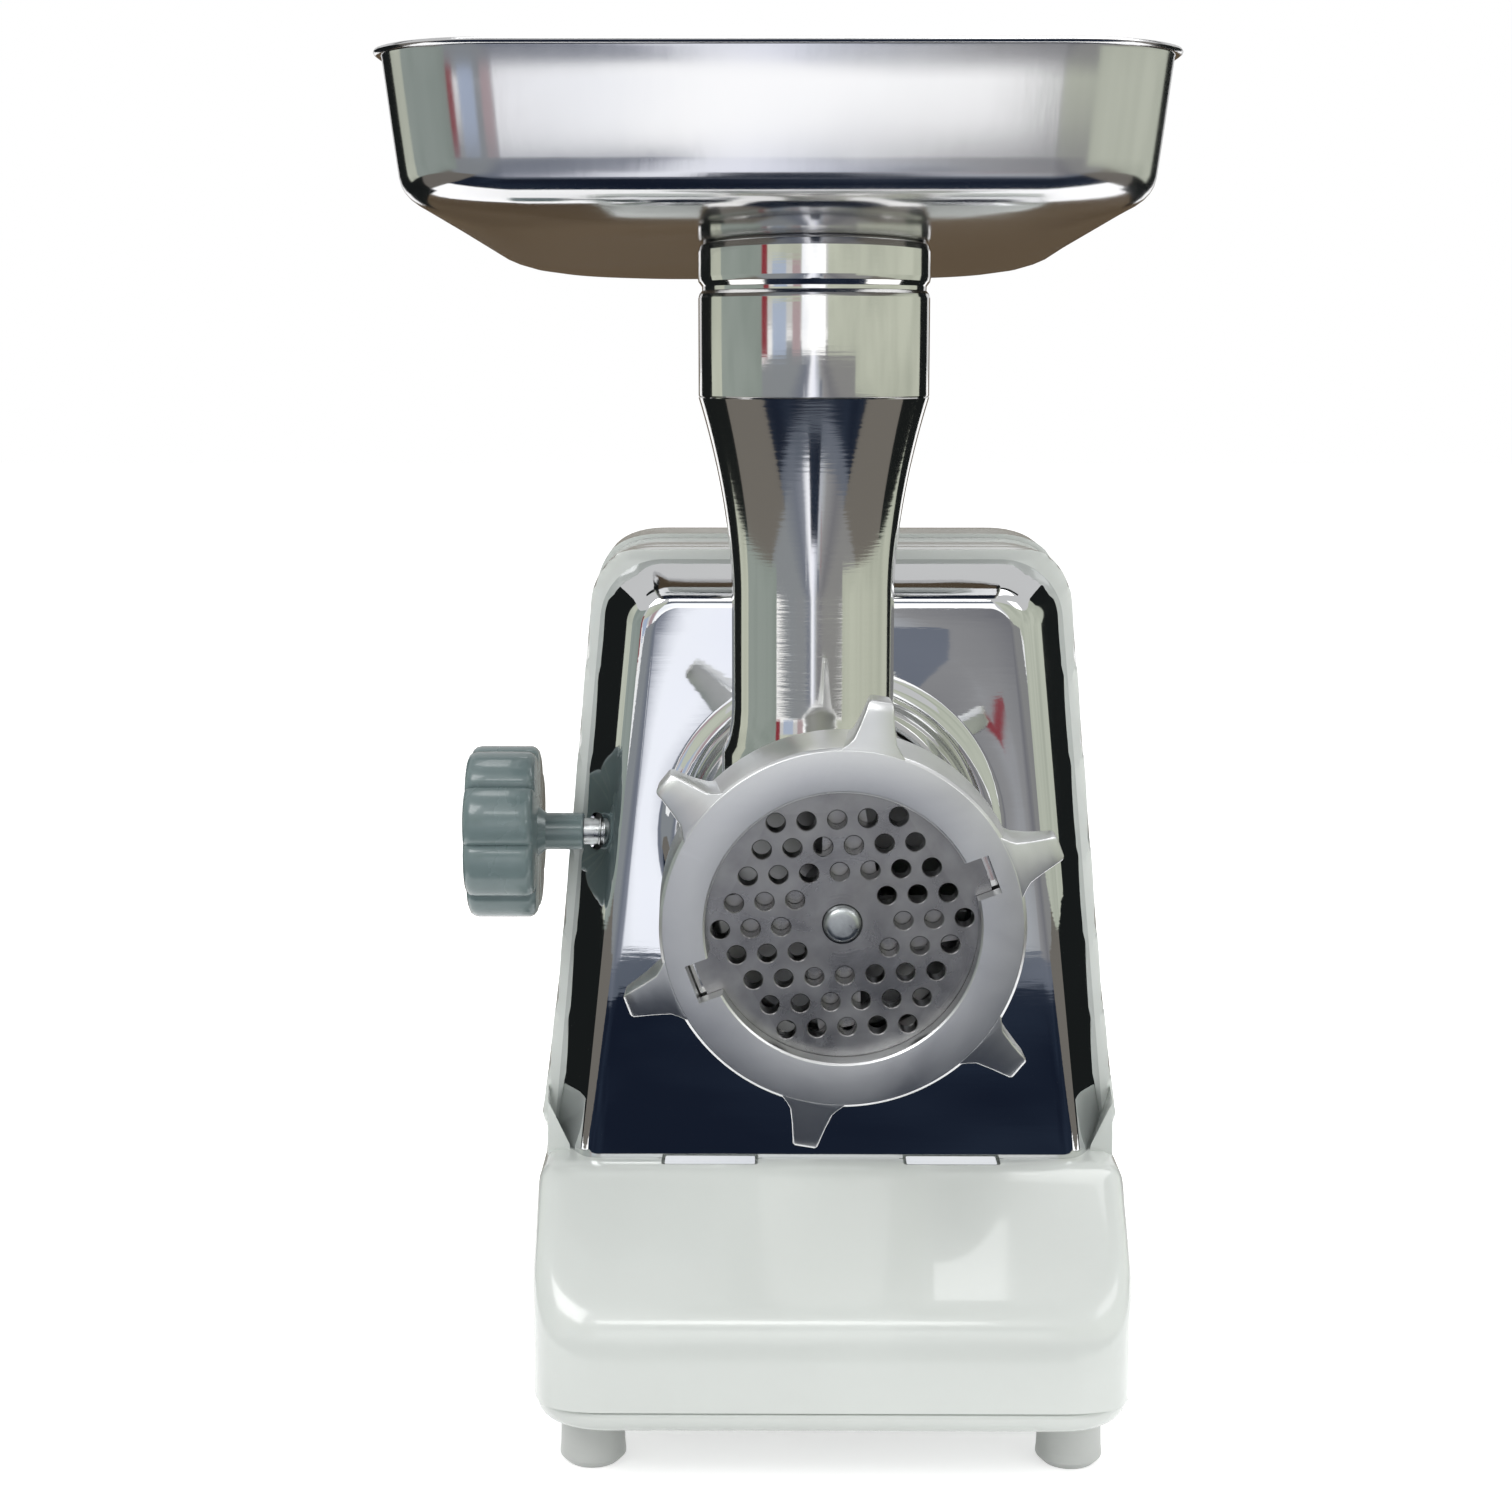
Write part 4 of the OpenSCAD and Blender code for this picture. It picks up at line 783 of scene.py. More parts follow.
for x in (-TAB_X, TAB_X):
    carved(steel_front, block((x - 14, 0.02, 75), (x + 14, 0.9, 81)), "UNION", 60)
bolt_hole = [[0, -90], [5.2, -90], [5.2, -41], [0, -41]]
carved(steel_front, revolved("bolt_hole", bolt_hole, BOLT, "X", front_steel), sharp=60)
for x in (-TAB_X, TAB_X):
    tab = block((x - 12.3, -3.5, 77.7), (x + 12.3, 0.5, 78.5), 0.6)
    carved(steel_front, tab, "UNION", 60)
placed(steel_front, "housing", "steel_front", "front_cover")

# %% [markdown]
# ## Grinding head
# The head is one casting: a barrel along Y and a throat along Z that meets it off centre. Both are
# turned shapes, so two revolved profiles are united and then bored out. The throat flares in a
# smooth curve up to the shoulder that the tray's sleeve rests on.
# %% Barrel and throat
barrel = revolved("polished_head", softened([
    [0, -99.5], [37, -99.5], [38, -98.5], [38, -79.5], [34, -75.5], [34, -14], [27, -5],
    [26, -4.5], [26, 21], [25, 22], [0, 22]], 2.0, 5), AXIS, "Y", buffed_steel, 144)


def throat_flare(r0, r1, steps=28):
    t = np.linspace(0, 1, steps)
    return [[r0 + (r1 - r0) * (k ** 1.8), 238 + 48 * k] for k in t]


outer = [[0, 168], [22.6, 168], [22.6, 199], [21.5, 201.2], [20.8, 203.5], [20.3, 206.5],
         [20.1, 210]] + throat_flare(20.1, 28.15)
outer += [[28.0, 286.25], [26.9, 286.3], [26.9, 309.4], [26.4, 310], [0, 310]]
carved(barrel, revolved("throat", outer, THROAT, "Z", buffed_steel, 128), "UNION")
inner = [[0, 168], [18.8, 168], [18.8, 202], [18.2, 202.6]] + throat_flare(18.2, 25.0)
inner += [[25.0, 312], [0, 312]]
carved(barrel, revolved("throat_bore", inner, THROAT, "Z", buffed_steel, 96))
bore = [[0, -101], [35.15, -101], [35.15, -95], [30, -95], [30, -14], [12.58, -14], [12.58, 23],
        [0, 23]]
carved(barrel, revolved("bore", bore, AXIS, "Y", buffed_steel, 128))
carved(barrel, block((-36.5, -101, 166), (-32.5, -95.5, 170)))
placed(barrel, "head", "polished_steel", "grinder_head")

# %% [markdown]
# ## Auger
# The auger's flight is a helix with one rule, so its rings of points come straight from that rule:
# the same four-sided section, turned and shifted a little for each step. Seen down the throat and
# through the plate, a fine step matters more than anything else.
# %% Auger
AUGER_PITCH, FLIGHT_LENGTH, AUGER_FRONT = 24, 66.8, -90.3
flight = []
for a in np.arange(0, 2 * math.pi * FLIGHT_LENGTH / AUGER_PITCH, math.radians(4)):
    for r, h in ((8, 0.2), (8, 4.4), (20, 4.35), (29.0, 4.6), (29.4, 4.2), (29.4, 2.4), (29.0, 2.0),
                 (20, 1.3)):
        flight.append((r * math.cos(a), AUGER_FRONT + h + AUGER_PITCH * a / (2 * math.pi),
                       AXIS_Z - r * math.sin(a)))
auger = grinder_mesh("cast_auger", flight, ring_faces(len(flight) // 8, 8), satin_casting)
core = revolved("core", [[0, AUGER_FRONT], [9.4, AUGER_FRONT], [10, -89.7], [10, -16.4],
                         [12.3, -16.4], [12.5, -16], [12.5, 12], [0, 12]], AXIS, "Y",
                satin_casting, 72)
carved(auger, core, "UNION")
hexagon = np.array([[9.8 * math.cos(a), AXIS_Z + 9.8 * math.sin(a)]
                    for a in np.radians(np.arange(0, 360, 60))])
carved(auger, prism("drive", hexagon, 11, 40, across), "UNION")
carved(auger, block((-4.7, -94.8, 163.3), (4.7, -89, 172.7)), "UNION")
placed(auger, "auger_set", "cast_aluminium", "auger")

# %% [markdown]
# ## Cutting plate
# The plate is a ground disc with 54 holes on a triangular lattice. Holes that repeat by a rule are
# Geometry Nodes' strength: a grid of points, every other row shifted by half a pitch, trimmed to a
# hexagon, gives each hole a lining with a small countersink, and the faces are filled round them.
# %% Geometry tree for a perforated disc
disc, disc_in, disc_out = geometry_tree("perforated_disc", [
    ("Pitch", FLOAT), ("Hole Radius", FLOAT), ("Disc Radius", FLOAT), ("Bush Radius", FLOAT),
    ("Thickness", FLOAT), ("Chamfer", FLOAT), ("Rows", COUNT)])
pitch, rows = disc_in.outputs["Pitch"], disc_in.outputs["Rows"]


def times(a, b):
    return calc(disc, "MULTIPLY", a, b)


def position():
    return add_node(disc, "GeometryNodeInputPosition").outputs[0]


row_step = times(pitch, math.sin(math.radians(60)))
across_all = calc(disc, "ADD", times(rows, 2.0), 1.0)
lattice = add_node(disc, "GeometryNodeMeshGrid", {
    "Size X": times(times(rows, 2.0), pitch), "Size Y": times(times(rows, 2.0), row_step),
    "Vertices X": across_all, "Vertices Y": across_all})
spot = add_node(disc, "ShaderNodeSeparateXYZ", {0: position()})
row_at = calc(disc, "ROUND", calc(disc, "DIVIDE", spot.outputs["Y"], row_step))
odd = calc(disc, "FLOORED_MODULO", row_at, 2.0)
shift = add_node(disc, "ShaderNodeCombineXYZ", {"X": times(times(odd, 0.5), pitch)})
staggered = add_node(disc, "GeometryNodeSetPosition", {"Geometry": lattice.outputs["Mesh"],
                     "Offset": shift.outputs[0]})
spot = add_node(disc, "ShaderNodeSeparateXYZ", {0: position()})
row_at = calc(disc, "ABSOLUTE", calc(disc, "DIVIDE", spot.outputs["Y"], row_step))
widest = times(calc(disc, "SUBTRACT", calc(disc, "ADD", rows, 0.1), times(row_at, 0.5)), pitch)
outside = calc(disc, "GREATER_THAN", calc(disc, "ABSOLUTE", spot.outputs["X"]), widest)
reach = add_node(disc, "ShaderNodeVectorMath", {0: position()}, operation="LENGTH")
central = calc(disc, "LESS_THAN", reach.outputs["Value"], times(pitch, 1.2))
holes_only = add_node(disc, "GeometryNodeDeleteGeometry", {"Geometry": staggered.outputs[0],
                      "Selection": calc(disc, "MAXIMUM", outside, central)}, domain="POINT")
print("lattice part of the disc tree:", len(disc.nodes), "nodes")
# %% Linings and faces of the perforated disc
thick, chamfer = disc_in.outputs["Thickness"], disc_in.outputs["Chamfer"]


def pipe(kind, sides, **sizes):
    return add_node(disc, kind, {"Vertices": sides, **sizes}, fill_type="NONE").outputs["Mesh"]


def lifted(shape, height):
    up = add_node(disc, "ShaderNodeCombineXYZ", {"Z": height})
    return add_node(disc, "GeometryNodeTransform", {"Geometry": shape,
                    "Translation": up.outputs[0]}).outputs[0]


def joined(*shapes):
    whole = add_node(disc, "GeometryNodeJoinGeometry")
    for shape in shapes:
        disc.links.new(shape, whole.inputs[0])
    return whole.outputs[0]


def at_holes(shape):
    return add_node(disc, "GeometryNodeInstanceOnPoints", {"Points": holes_only.outputs[0],
                    "Instance": shape}).outputs[0]


def lining(radius, sides):
    """Wall of a round hole with a countersink at each end, from z = 0 to the thickness."""
    cone, wide = "GeometryNodeMeshCone", calc(disc, "ADD", radius, chamfer)
    straight = calc(disc, "SUBTRACT", thick, times(chamfer, 2.0))
    tube = pipe("GeometryNodeMeshCylinder", sides, Radius=radius, Depth=straight)
    low = pipe(cone, sides, **{"Radius Bottom": wide, "Radius Top": radius, "Depth": chamfer})
    high = pipe(cone, sides, **{"Radius Bottom": radius, "Radius Top": wide, "Depth": chamfer})
    return joined(lifted(tube, times(thick, 0.5)), low,
                  lifted(high, calc(disc, "SUBTRACT", thick, chamfer))), wide


def circle(radius, points):
    return add_node(disc, "GeometryNodeCurvePrimitiveCircle", {"Resolution": points,
                    "Radius": radius}, mode="RADIUS").outputs["Curve"]


hole_wall, hole_wide = lining(disc_in.outputs["Hole Radius"], 24)
bush_wall, bush_wide = lining(disc_in.outputs["Bush Radius"], 48)
rim = lifted(pipe("GeometryNodeMeshCylinder", 128, Radius=disc_in.outputs["Disc Radius"],
                  Depth=thick), times(thick, 0.5))
face_lines = joined(circle(disc_in.outputs["Disc Radius"], 128), circle(bush_wide, 48),
                    at_holes(circle(hole_wide, 24)))
flat_lines = add_node(disc, "GeometryNodeRealizeInstances", {"Geometry": face_lines})
face = add_node(disc, "GeometryNodeFillCurve", {"Curve": flat_lines.outputs[0]}, mode="TRIANGLES")
whole = joined(face.outputs[0], lifted(face.outputs[0], thick), at_holes(hole_wall), bush_wall, rim)
real = add_node(disc, "GeometryNodeRealizeInstances", {"Geometry": whole})
welded = add_node(disc, "GeometryNodeMergeByDistance", {"Geometry": real.outputs[0],
                  "Distance": 0.002})
finished_tree(disc, disc_out, welded.outputs[0], ground_plate)
print("disc tree:", len(disc.nodes), "nodes")
# %% The cutting plate
facing_front = (Matrix.Translation((0, -101, AXIS_Z)) @ Matrix.Rotation(math.radians(-90), 4, "X")
                @ Matrix.Rotation(math.radians(-3), 4, "Z"))
plate = grown("perforated_plate", disc, {
    "Pitch": 7.0, "Hole Radius": 2.15, "Disc Radius": 35.0, "Bush Radius": 4.48,
    "Thickness": 6.0, "Chamfer": 0.22, "Rows": 4}, facing_front, 20)
edited(plate, lambda form: print("open edges of the plate:",
                                 sum(e.is_boundary for e in form.edges)))
placed(plate, "head", "plate_steel", "cutting_plate")

# %% [markdown]
# ### Pin in the middle of the plate
# The auger's front pin turns in the plate's bush. It is a zinc-plated stub with a domed end.
# %% Auger pin
dome = [[0, -102.8]] + [[2.6 + 1.8 * math.sin(a), -101.0 - 1.8 * math.cos(a)]
                        for a in np.linspace(0, math.pi / 2, 8)]
pin = revolved("domed_pin", dome + [[4.4, -94.9], [0, -94.9]], AXIS, "Y", zinc, 64)
placed(pin, "auger_set", "zinc_steel", "auger_pin")

# %% [markdown]
# ## Ring nut
# A satin casting with six grip lugs like blades, machined on its front. The ring is a revolved
# profile and each lug a short loft with its own small bevel. They are united rather than left
# crossing, so that the notches cut cleanly through both and the export gets one closed solid.
# %% Ring nut
ring_profile = softened([[31.8, -107], [41.0, -107], [41.7, -106.2], [42.5, -84], [41.7, -83],
                         [38.08, -83], [38.08, -101.3], [31.2, -101.3], [31.3, -106.6]], 0.35, 3)
nut = revolved("cast_ring_nut", ring_profile, AXIS, "Y", satin_casting, 192, 30)


def lug(turn):
    """Blade-like lug: wide at the ring, flat at its narrow tip, deep towards the back."""
    rows = [(38.6, 8.0, -106.9, -84.6), (40.6, 7.4, -106.9, -85.0), (42.0, 6.0, -106.8, -86.4),
            (43.4, 4.9, -106.6, -88.0), (47.0, 3.9, -106.0, -91.8), (50.0, 3.25, -105.4, -94.0),
            (51.9, 2.9, -104.9, -95.2), (52.6, 2.4, -104.4, -95.4)]
    points = []
    for r, half, y0, y1 in rows:
        for side, y in ((-half, y0), (half, y0), (half * 0.9, y1), (-half * 0.9, y1)):
            c, s = math.cos(turn), math.sin(turn)
            points.append((r * c - side * s, y, AXIS_Z + r * s + side * c))
    made = grinder_mesh("lug", points, ring_faces(len(rows), 4), satin_casting)
    eased = made.modifiers.new("eased", "BEVEL")
    eased.width, eased.segments, eased.limit_method = 0.0004, 3, "ANGLE"
    eased.angle_limit = math.radians(40)
    return applied(made)


FIRST_LUG = 20.7   # degrees from the X axis
for k in range(6):
    carved(nut, lug(math.radians(FIRST_LUG + 60 * k)), "UNION", 30)
for k in range(2):
    turn = math.radians(FIRST_LUG + 180 * k)
    notch = block((29, -110, -4.6), (36.6, -100.8, 4.6))
    notch.data.transform(Matrix.Translation((0, 0, 0.168)) @ Matrix.Rotation(-turn, 4, "Y"))
    carved(nut, notch, sharp=30)
placed(nut, "ring", "cast_aluminium", "ring_nut")

# %% [markdown]
# ## Tray and its neck
# The tray is drawn from one sheet: a rolled rim, a wall that leans out, a bend, and a bottom that
# dips towards the hole over the throat. The skin is one closed section of inset and height, carried
# round a rounded rectangle; the last ring changes into the circle of the hole.
# %% Tray
TRAY_W, TRAY_L, TRAY_FLOOR, TRAY_RISE = 179.4, 215.4, 315.5, 11
TRAY_X, TRAY_Y, TRAY_BACK, HOLE_R = -15, -6, 101.7, 23.5


def front_rise(y):
    """Rise of the tray's sloping bottom at y, from its back edge to its front one."""
    return TRAY_RISE * (TRAY_BACK - y) / TRAY_L


def tray_ring(inset, z, share=0.0, steps=16):
    radius = max(8.0, 27.7 - 0.35 * inset) if inset < 16 else 28.0
    return [(x, y, z + share * front_rise(y)) for x, y in rounded_rectangle(
        TRAY_X, TRAY_Y, TRAY_W - 2 * inset, TRAY_L - 2 * inset, radius, steps)]


outside = [(1.7, 361.0, 0), (2.5, 354.0, 0), (3.4, 346.0, 0), (4.3, 338.5, 0), (4.7, 335.4, 0.0),
           (5.2, 333.0, 0.06), (6.0, 330.6, 0.16), (7.2, 328.2, 0.27), (8.8, 325.9, 0.39),
           (10.8, 323.8, 0.51), (13.6, 321.6, 0.65), (17.4, 319.5, 0.78), (22.2, 317.7, 0.88),
           (28.0, 316.4, 0.95), (34.0, 315.7, 0.99), (40.0, 315.5, 1.0)]
bead = [(1.55, 361.6), (0.75, 361.5), (0.2, 361.85), (0.0, 362.3), (0.25, 362.8), (0.8, 363.0),
        (1.8, 363.0), (2.5, 362.5)]
inside = [(i + 0.9 * min(1, (z - 314) / 16), z + (0.9 if z < 332 else 0.2), share)
          for i, z, share in outside]


def hole_ring(z):
    start = np.array(tray_ring(40.0, 0))[:, :2] - np.array(THROAT)
    turn = np.arctan2(start[:, 1], start[:, 0])
    return [(THROAT[0] + HOLE_R * math.cos(a), THROAT[1] + HOLE_R * math.sin(a),
             z + front_rise(THROAT[1] + HOLE_R * math.sin(a))) for a in turn]


tray_rings = [hole_ring(TRAY_FLOOR)] + [tray_ring(*section) for section in reversed(outside)]
tray_rings += [tray_ring(*section) for section in bead + inside] + [hole_ring(316.4)]
tray = grinder_mesh("drawn_tray", np.concatenate(tray_rings),
                    ring_faces(len(tray_rings), len(tray_rings[0]), loop=True), tray_steel, 50)
placed(tray, "tray", "polished_steel", "tray_pan")
# %% Neck of the tray
neck = revolved("tray_collar", softened([
    [27.15, 286.3], [28.15, 286.3], [28.15, 309.9], [27.9, 310.8], [27.25, 311.6], [27.25, 312.6],
    [28.1, 313.8], [28.3, 315.0], [28.3, 321.6], [27.9, 323.2], [26.9, 324.0], [23.7, 324.0],
    [23.7, 310.3], [27.15, 310.3]], 0.35), THROAT, "Z", buffed_steel, 128)
COLLAR_Z, COLLAR_TOP = 313, 324   # between these the collar follows the tray's slope
for v in neck.data.vertices:
    x, y, z = v.co * 1000
    if z > COLLAR_Z:
        stretch = (TRAY_FLOOR + front_rise(y) - COLLAR_Z) / (COLLAR_TOP - COLLAR_Z)
        v.co.z = 0.001 * (COLLAR_Z + (z - COLLAR_Z) * stretch)
placed(neck, "tray", "polished_steel", "tray_neck")

# %% [markdown]
# ## Clamp knob and bolt
# The knob has eight lobes. Its outline is a circle with a soft wave, lofted along the bolt's axis
# with the ends rounded over, and a stem. The bolt's thread is a helix, swept by Geometry Nodes.
# %% Clamp knob
def knob_section(x, scale, lobes=8, sides=192):
    a = np.linspace(0, 2 * math.pi, sides, endpoint=False)
    wave = np.abs(np.cos(lobes * a / 2 + math.pi / 2)) ** 0.55
    r = (20.6 + 2.9 * wave) * scale
    return np.stack([np.full(sides, x), BOLT[0] + r * np.cos(a), BOLT[1] + r * np.sin(a)], 1)


knob_profile = [(-79.6, 0.30), (-79.6, 0.90), (-79.9, 0.945), (-80.6, 0.98), (-81.6, 1.0),
                (-86, 1.0), (-92, 1.0), (-95.4, 1.0), (-96.8, 0.985), (-97.6, 0.955),
                (-98.1, 0.90), (-98.3, 0.82), (-98.5, 0.5), (-98.6, 0.1)]
knob_points = np.concatenate([knob_section(x, s) for x, s in knob_profile])
knob = grinder_mesh("lobed_knob", knob_points, ring_faces(len(knob_profile), 192), knob_gloss, 40)
stem_profile = softened([[0, -67.3], [4.6, -67.3], [5, -67.7], [5, -77.5], [7, -79.8], [7, -81],
                         [0, -81]], 0.3)
carved(knob, revolved("stem", stem_profile, BOLT, "X", knob_gloss, 48), "UNION", 40)
placed(knob, "knob", "knob_plastic", "clamp_knob")
# %% Threaded clamp bolt
thread, thread_in, thread_out = geometry_tree("thread_ridge", [
    ("Radius", FLOAT), ("Pitch", FLOAT), ("Length", FLOAT), ("Ridge", FLOAT)])
turns = calc(thread, "DIVIDE", thread_in.outputs["Length"], thread_in.outputs["Pitch"])
helix = add_node(thread, "GeometryNodeCurveSpiral", {
    "Resolution": 32, "Rotations": turns, "Height": thread_in.outputs["Length"],
    "Start Radius": thread_in.outputs["Radius"], "End Radius": thread_in.outputs["Radius"]})
ridge = add_node(thread, "GeometryNodeCurvePrimitiveCircle", {"Resolution": 6,
                 "Radius": thread_in.outputs["Ridge"]}, mode="RADIUS")
swept = add_node(thread, "GeometryNodeCurveToMesh", {"Curve": helix.outputs[0],
                 "Profile Curve": ridge.outputs["Curve"], "Fill Caps": True})
finished_tree(thread, thread_out, swept.outputs[0], zinc)
along_bolt = Matrix.Translation((-27.5, *BOLT)) @ Matrix.Rotation(math.radians(-90), 4, "Y")
thread_turns = grown("bolt_thread", thread, {"Radius": 3.62, "Pitch": 1.25, "Length": 36.0,
                                             "Ridge": 0.36}, along_bolt, 60)
bolt = revolved("clamp_rod", [[0, -26.3], [2.6, -26.3], [3.6, -27.3], [3.6, -67.2], [0, -67.2]],
                BOLT, "X", zinc, 48)
placed(thread_turns, "knob", "zinc_steel")
placed(bolt, "knob", "zinc_steel", "clamp_bolt")

# %% [markdown]
# ## Floor, cards and light
# A plain pale floor carries the shadow. Polished metal only looks like metal when it has something
# to mirror, so cards stand outside the picture: dark and navy ones low in front, warm ones at the
# sides. They show in reflections and nowhere else, and none of this is part of the product.
# %% Floor and world
FLOOR_LIFT, SHADE_LIGHT = 0.55, 0.72


def any_ray(tree, *kinds):
    """1 for the rays of these kinds, 0 for all others."""
    path = add_node(tree, "ShaderNodeLightPath")
    level = path.outputs[f"Is {kinds[0]} Ray"]
    for kind in kinds[1:]:
        level = calc(tree, "MAXIMUM", level, path.outputs[f"Is {kind} Ray"])
    return level


def stage_material(name, colour, strength=None):
    """Plain glow, or with no strength the matt floor, lifted where it is looked at."""
    made = bpy.data.materials.new(name)
    made.use_nodes = True
    tree = made.node_tree
    tree.nodes.clear()
    shown = add_node(tree, "ShaderNodeEmission", {"Color": (*colour, 1), "Strength": strength or 1})
    if strength is None:
        lift = calc(tree, "MULTIPLY", any_ray(tree, "Camera", "Glossy", "Transmission"), FLOOR_LIFT)
        shown.inputs["Color"].default_value = (1, 1, 1, 1)
        tree.links.new(lift, shown.inputs["Strength"])
        matt = add_node(tree, "ShaderNodeBsdfDiffuse", {"Color": (*colour, 1)})
        shown = add_node(tree, "ShaderNodeAddShader", {0: matt.outputs[0], 1: shown.outputs[0]})
    out = tree.nodes.new("ShaderNodeOutputMaterial")
    tree.links.new(shown.outputs[0], out.inputs["Surface"])
    return made


def card(name, corners, faces, material, only_mirrored=True):
    mesh = bpy.data.meshes.new(name)
    mesh.from_pydata(corners, [], faces)
    mesh.materials.append(material)
    made = bpy.data.objects.new(name, mesh)
    scene.collection.objects.link(made)
    if only_mirrored:
        made.visible_camera = made.visible_diffuse = made.visible_shadow = False
        made.visible_transmission = made.visible_volume_scatter = False


def flat_card(name, x0, x1, y0, y1, z, material, only_mirrored=True):
    card(name, [(x0, y0, z), (x1, y0, z), (x1, y1, z), (x0, y1, z)], [(0, 1, 2, 3)], material,
         only_mirrored)


flat_card("floor", -6, 6, -6, 6, 0, stage_material("studio_floor", (0.80, 0.80, 0.80)), False)
world = bpy.data.worlds.new("studio_air")
scene.world = world
world.use_nodes = True
air, background = world.node_tree, world.node_tree.nodes["Background"]
background.inputs["Color"].default_value = (1, 1, 1, 1)
put_out(air, background, Strength=mapped(air, any_ray(air, "Camera", "Transmission"), 0, 1,
                                         SHADE_LIGHT, 1.0))
print("floor and world ready")
# %% Helpers for reflection cards
def glow_from(name, paint):
    """Glowing card material whose colour comes from the socket that paint makes."""
    made = stage_material(name, (1, 1, 1), 1.0)
    glow = next(n for n in made.node_tree.nodes if n.type == "EMISSION")
    made.node_tree.links.new(paint(made.node_tree), glow.inputs["Color"])
    return made


def cloudy_material(name, first, second, scale):
    """Glow that drifts between two colours, for soft uneven reflections."""
    def paint(tree):
        soft = mapped(tree, object_noise(tree, scale, 3.0), 0.38, 0.62)
        mixed = add_node(tree, "ShaderNodeMix", {"Factor": soft}, data_type="RGBA")
        mixed.inputs["A"].default_value = (*first, 1)
        mixed.inputs["B"].default_value = (*second, 1)
        return mixed.outputs["Result"]
    return glow_from(name, paint)


def ramp_material(name, stops, scale, half=0.6, sway=0.03):
    """Glow that changes across X, from left to right, with soft clouds in it."""
    def paint(tree):
        place = add_node(tree, "ShaderNodeTexCoord")
        parts = add_node(tree, "ShaderNodeSeparateXYZ", {"Vector": place.outputs["Object"]})
        swayed = mapped(tree, object_noise(tree, scale, 3.0), 0, 1, -sway, sway)
        share = mapped(tree, calc(tree, "ADD", parts.outputs["X"], swayed), -half, half)
        ramp = add_node(tree, "ShaderNodeValToRGB", {"Fac": share})
        steps = ramp.color_ramp.elements
        steps[0].position, steps[1].position = 0.0, 1.0
        for place_x, colour in stops:
            steps.new((place_x + half) / (2 * half)).color = (*colour, 1)
        steps[0].color, steps[-1].color = (*stops[0][1], 1), (*stops[-1][1], 1)
        return ramp.outputs["Color"]
    return glow_from(name, paint)


def strip(name, spots, low, high, material):
    """Upright card along a line of spots on the floor."""
    count = len(spots)
    card(name, [(x, y, low) for x, y in spots] + [(x, y, high) for x, y in spots],
         [(i, i + 1, count + i + 1, count + i) for i in range(count - 1)], material)


def arc_card(name, first, last, material, low=0.0, high=0.75, radius=1.15):
    """Upright card along an arc round the grinder; 0 degrees is straight ahead of the outlet."""
    turn = np.radians(np.linspace(first, last, 12))
    strip(name, [(radius * math.sin(a), -0.04 - radius * math.cos(a)) for a in turn], low, high,
          material)


print("card helpers ready")
# %% Card colours
navy = cloudy_material("navy_card", (0.010, 0.015, 0.030), (0.022, 0.032, 0.055), 5)
dark = stage_material("dark_card", (0.012, 0.014, 0.014), 1.0)
beige = cloudy_material("beige_card", (0.52, 0.55, 0.46), (0.66, 0.69, 0.58), 2)
sage = cloudy_material("sage_card", (0.29, 0.34, 0.31), (0.36, 0.41, 0.38), 2)
pink = stage_material("pink_card", (0.52, 0.40, 0.42), 1.0)
brick = stage_material("brick_card", (0.30, 0.04, 0.055), 1.0)
sky = stage_material("sky_card", (0.50, 0.58, 0.74), 1.0)
bright = cloudy_material("bright_card", (1.15, 1.18, 1.25), (1.5, 1.5, 1.5), 3)
slate = cloudy_material("slate_card", (0.13, 0.15, 0.19), (0.20, 0.22, 0.27), 2.4)
brown = cloudy_material("brown_card", (0.10, 0.072, 0.045), (0.16, 0.12, 0.08), 1.5)
sweep = ramp_material("floor_sweep", [
    (-0.50, (0.30, 0.32, 0.34)), (-0.26, (0.20, 0.22, 0.27)), (-0.165, (0.30, 0.32, 0.38)),
    (-0.125, (0.95, 0.97, 1.05)), (-0.10, (1.2, 1.22, 1.3)), (-0.02, (1.15, 1.17, 1.3)),
    (0.05, (0.62, 0.65, 0.74)), (0.11, (0.50, 0.52, 0.55)), (0.16, (0.34, 0.34, 0.35)),
    (0.30, (0.22, 0.22, 0.24)), (0.50, (0.3, 0.3, 0.3))], 2.2)
taupe = stage_material("taupe_card", (0.20, 0.185, 0.165), 1.0)
window = stage_material("window_card", (1, 1, 1), 6.0)
print("card colours ready")
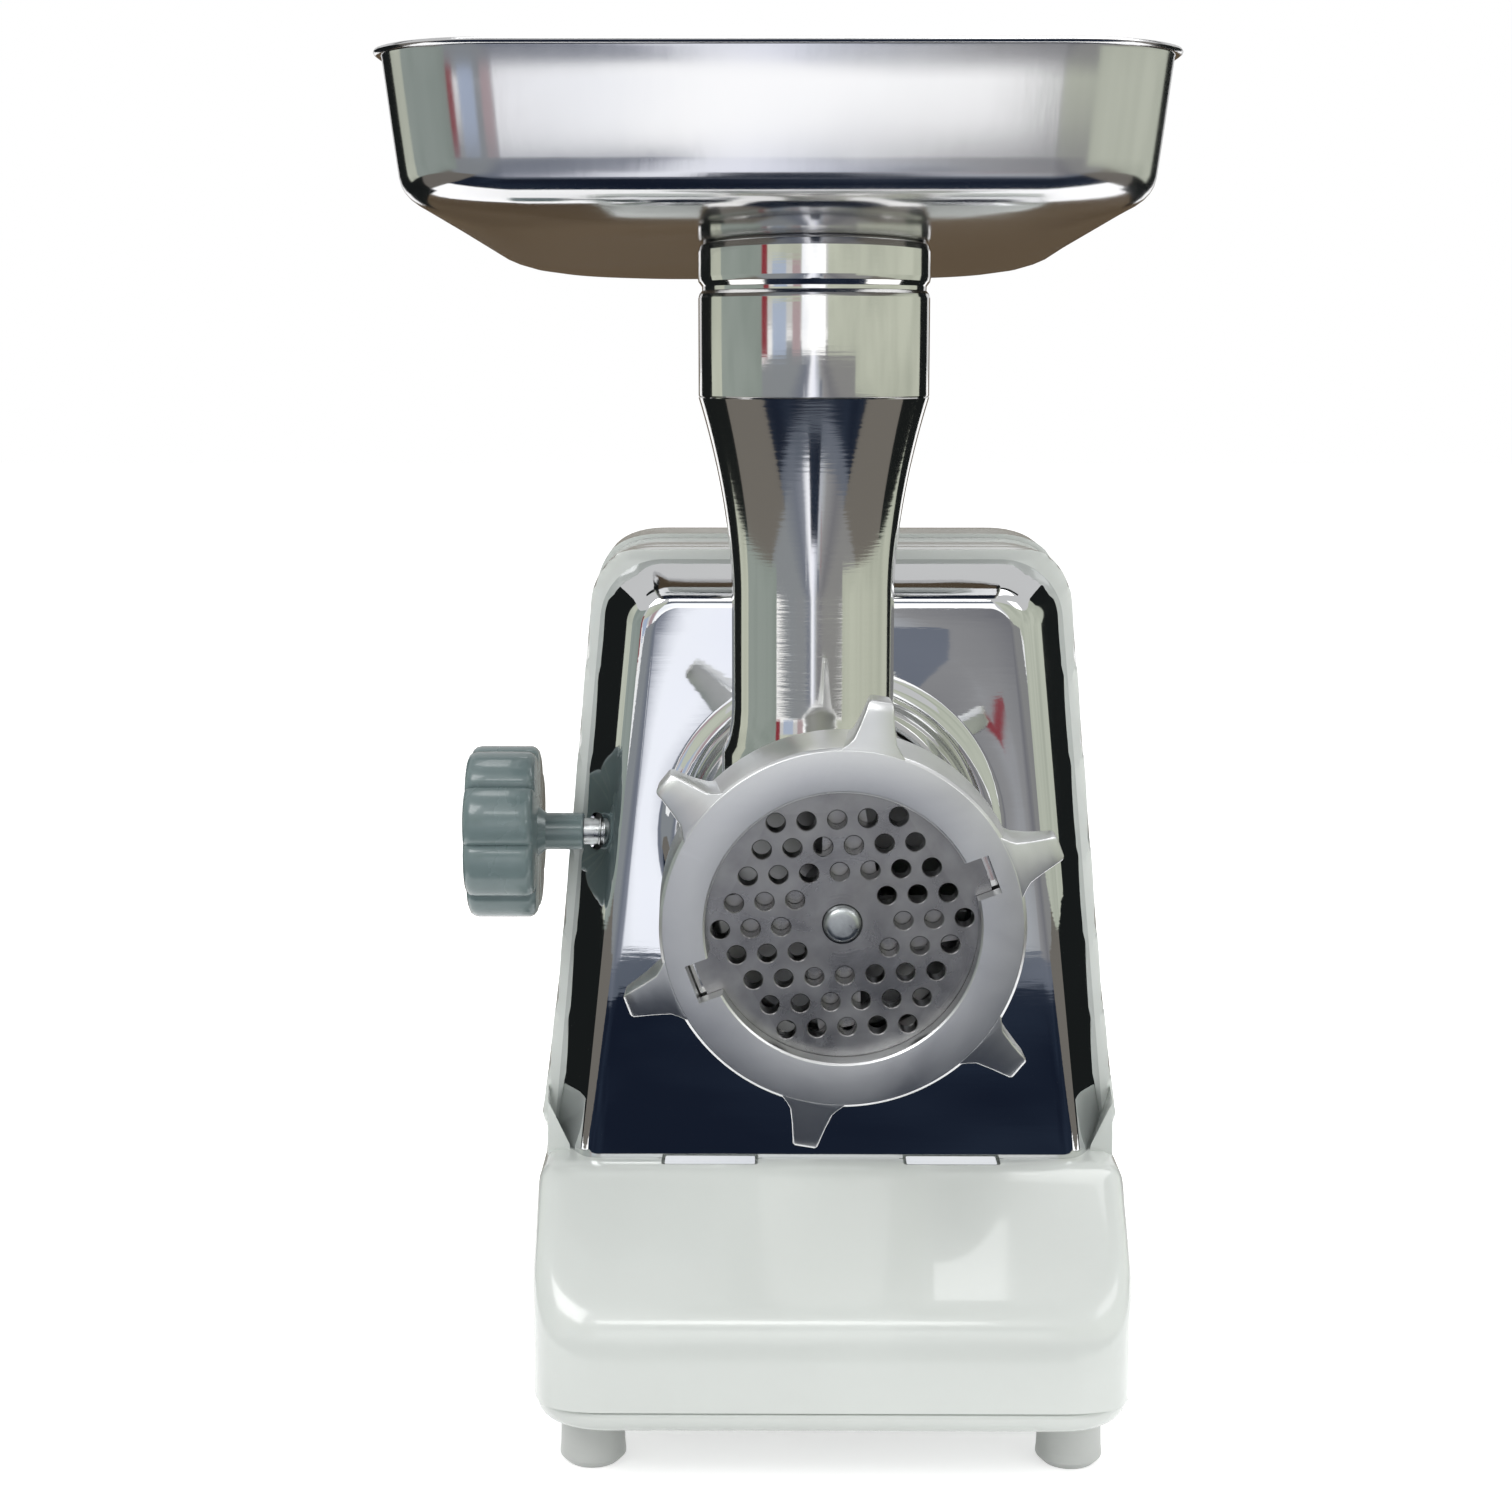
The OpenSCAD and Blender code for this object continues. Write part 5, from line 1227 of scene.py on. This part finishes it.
# %% Places of the cards
for name, x0, x1, y0, y1, z, material in (
        ("navy_near", -0.42, 0.42, -0.52, -0.13, 0.001, navy),
        ("slate_near", -0.42, 0.42, -0.57, -0.49, 0.002, slate),
        ("navy_tongue", -0.062, 0.062, -0.88, -0.52, 0.003, navy),
        ("bright_sweep", -1.6, 1.6, -3.4, -0.52, 0.0005, sweep),
        ("near_floor_0", -1.2, -0.42, -0.6, 0.12, 0.001, taupe),
        ("near_floor_2", 0.42, 1.2, -0.6, 0.12, 0.001, taupe),
        ("far_floor_0", -1.2, -0.36, 0.12, 1.2, 0.001, dark),
        ("far_floor_2", 0.36, 1.2, 0.12, 1.2, 0.001, dark),
        ("brown_floor", -0.36, 0.36, 0.26, 1.2, 0.001, brown),
        ("window", 0.09, 0.165, -0.43, -0.36, 1.3, window),
        ("high_window", -0.3, 0.2, 0.0, 0.2, 1.5, window),
        ("dark_over", -0.6, 0.6, 0.34, 0.46, 0.85, dark)):
    flat_card(name, x0, x1, y0, y1, z, material)
for name, x0, x1, y, low, high, material in (
        ("slate_block", 0.046, 0.078, -0.7, 0.098, 0.150, slate),
        ("brick_line", 0.101, 0.106, -0.7, 0.0, 0.105, brick),
        ("glow_line", -0.128, -0.124, -0.7, 0.0, 0.13, bright),
        ("brown_back", -0.44, 0.44, 1.2, 0.0, 0.36, brown),
        ("long_window", -0.26, 0.16, -1.1, 0.85, 1.05, window)):
    strip(name, [(x0, y), (x1, y)], low, high, material)
for name, first, last, low, high, material in (
        ("front_glow", -13, 10, 0.15, 0.5, bright), ("pink_band", -22, -14, 0.15, 0.36, pink),
        ("sky_band", -42, -28, 0.15, 0.36, sky), ("brick_band", -53, -47, 0.15, 0.5, brick),
        ("left_sage", -104, -53, 0, 0.75, sage), ("front_left", -47, -13, 0.36, 0.75, beige),
        ("front_middle", -13, 10, 0.5, 0.75, slate), ("left_beige", -122, -104, 0, 0.75, beige),
        ("left_edge", -150, -122, 0, 0.75, dark), ("right_front", 12, 40, 0.15, 0.75, beige),
        ("right_beige", 40, 128, 0, 0.75, beige), ("right_edge", 128, 150, 0, 0.75, dark)):
    arc_card(name, first, last, material, low, high)
print("cards ready")
# %% Lamps
def softbox(name, place, aim, size, watts, colour=(1, 1, 1)):
    lamp = bpy.data.lights.new(name, "AREA")
    lamp.shape, lamp.size, lamp.size_y = "RECTANGLE", size[0], size[1]
    lamp.energy, lamp.color = watts, colour
    made = bpy.data.objects.new(name, lamp)
    made.location = place
    made.rotation_euler = (Vector(aim) - Vector(place)).to_track_quat("-Z", "Y").to_euler()
    scene.collection.objects.link(made)
    return made


softbox("key_softbox", (-0.9, -1.2, 1.5), (0, 0, 0.15), (0.8, 0.8), 11)
softbox("fill_softbox", (1.2, -0.9, 0.9), (0, 0, 0.15), (0.7, 1.0), 4.5)
softbox("top_softbox", (0.2, 0.3, 1.7), (0, 0, 0.1), (1.2, 1.2), 13)
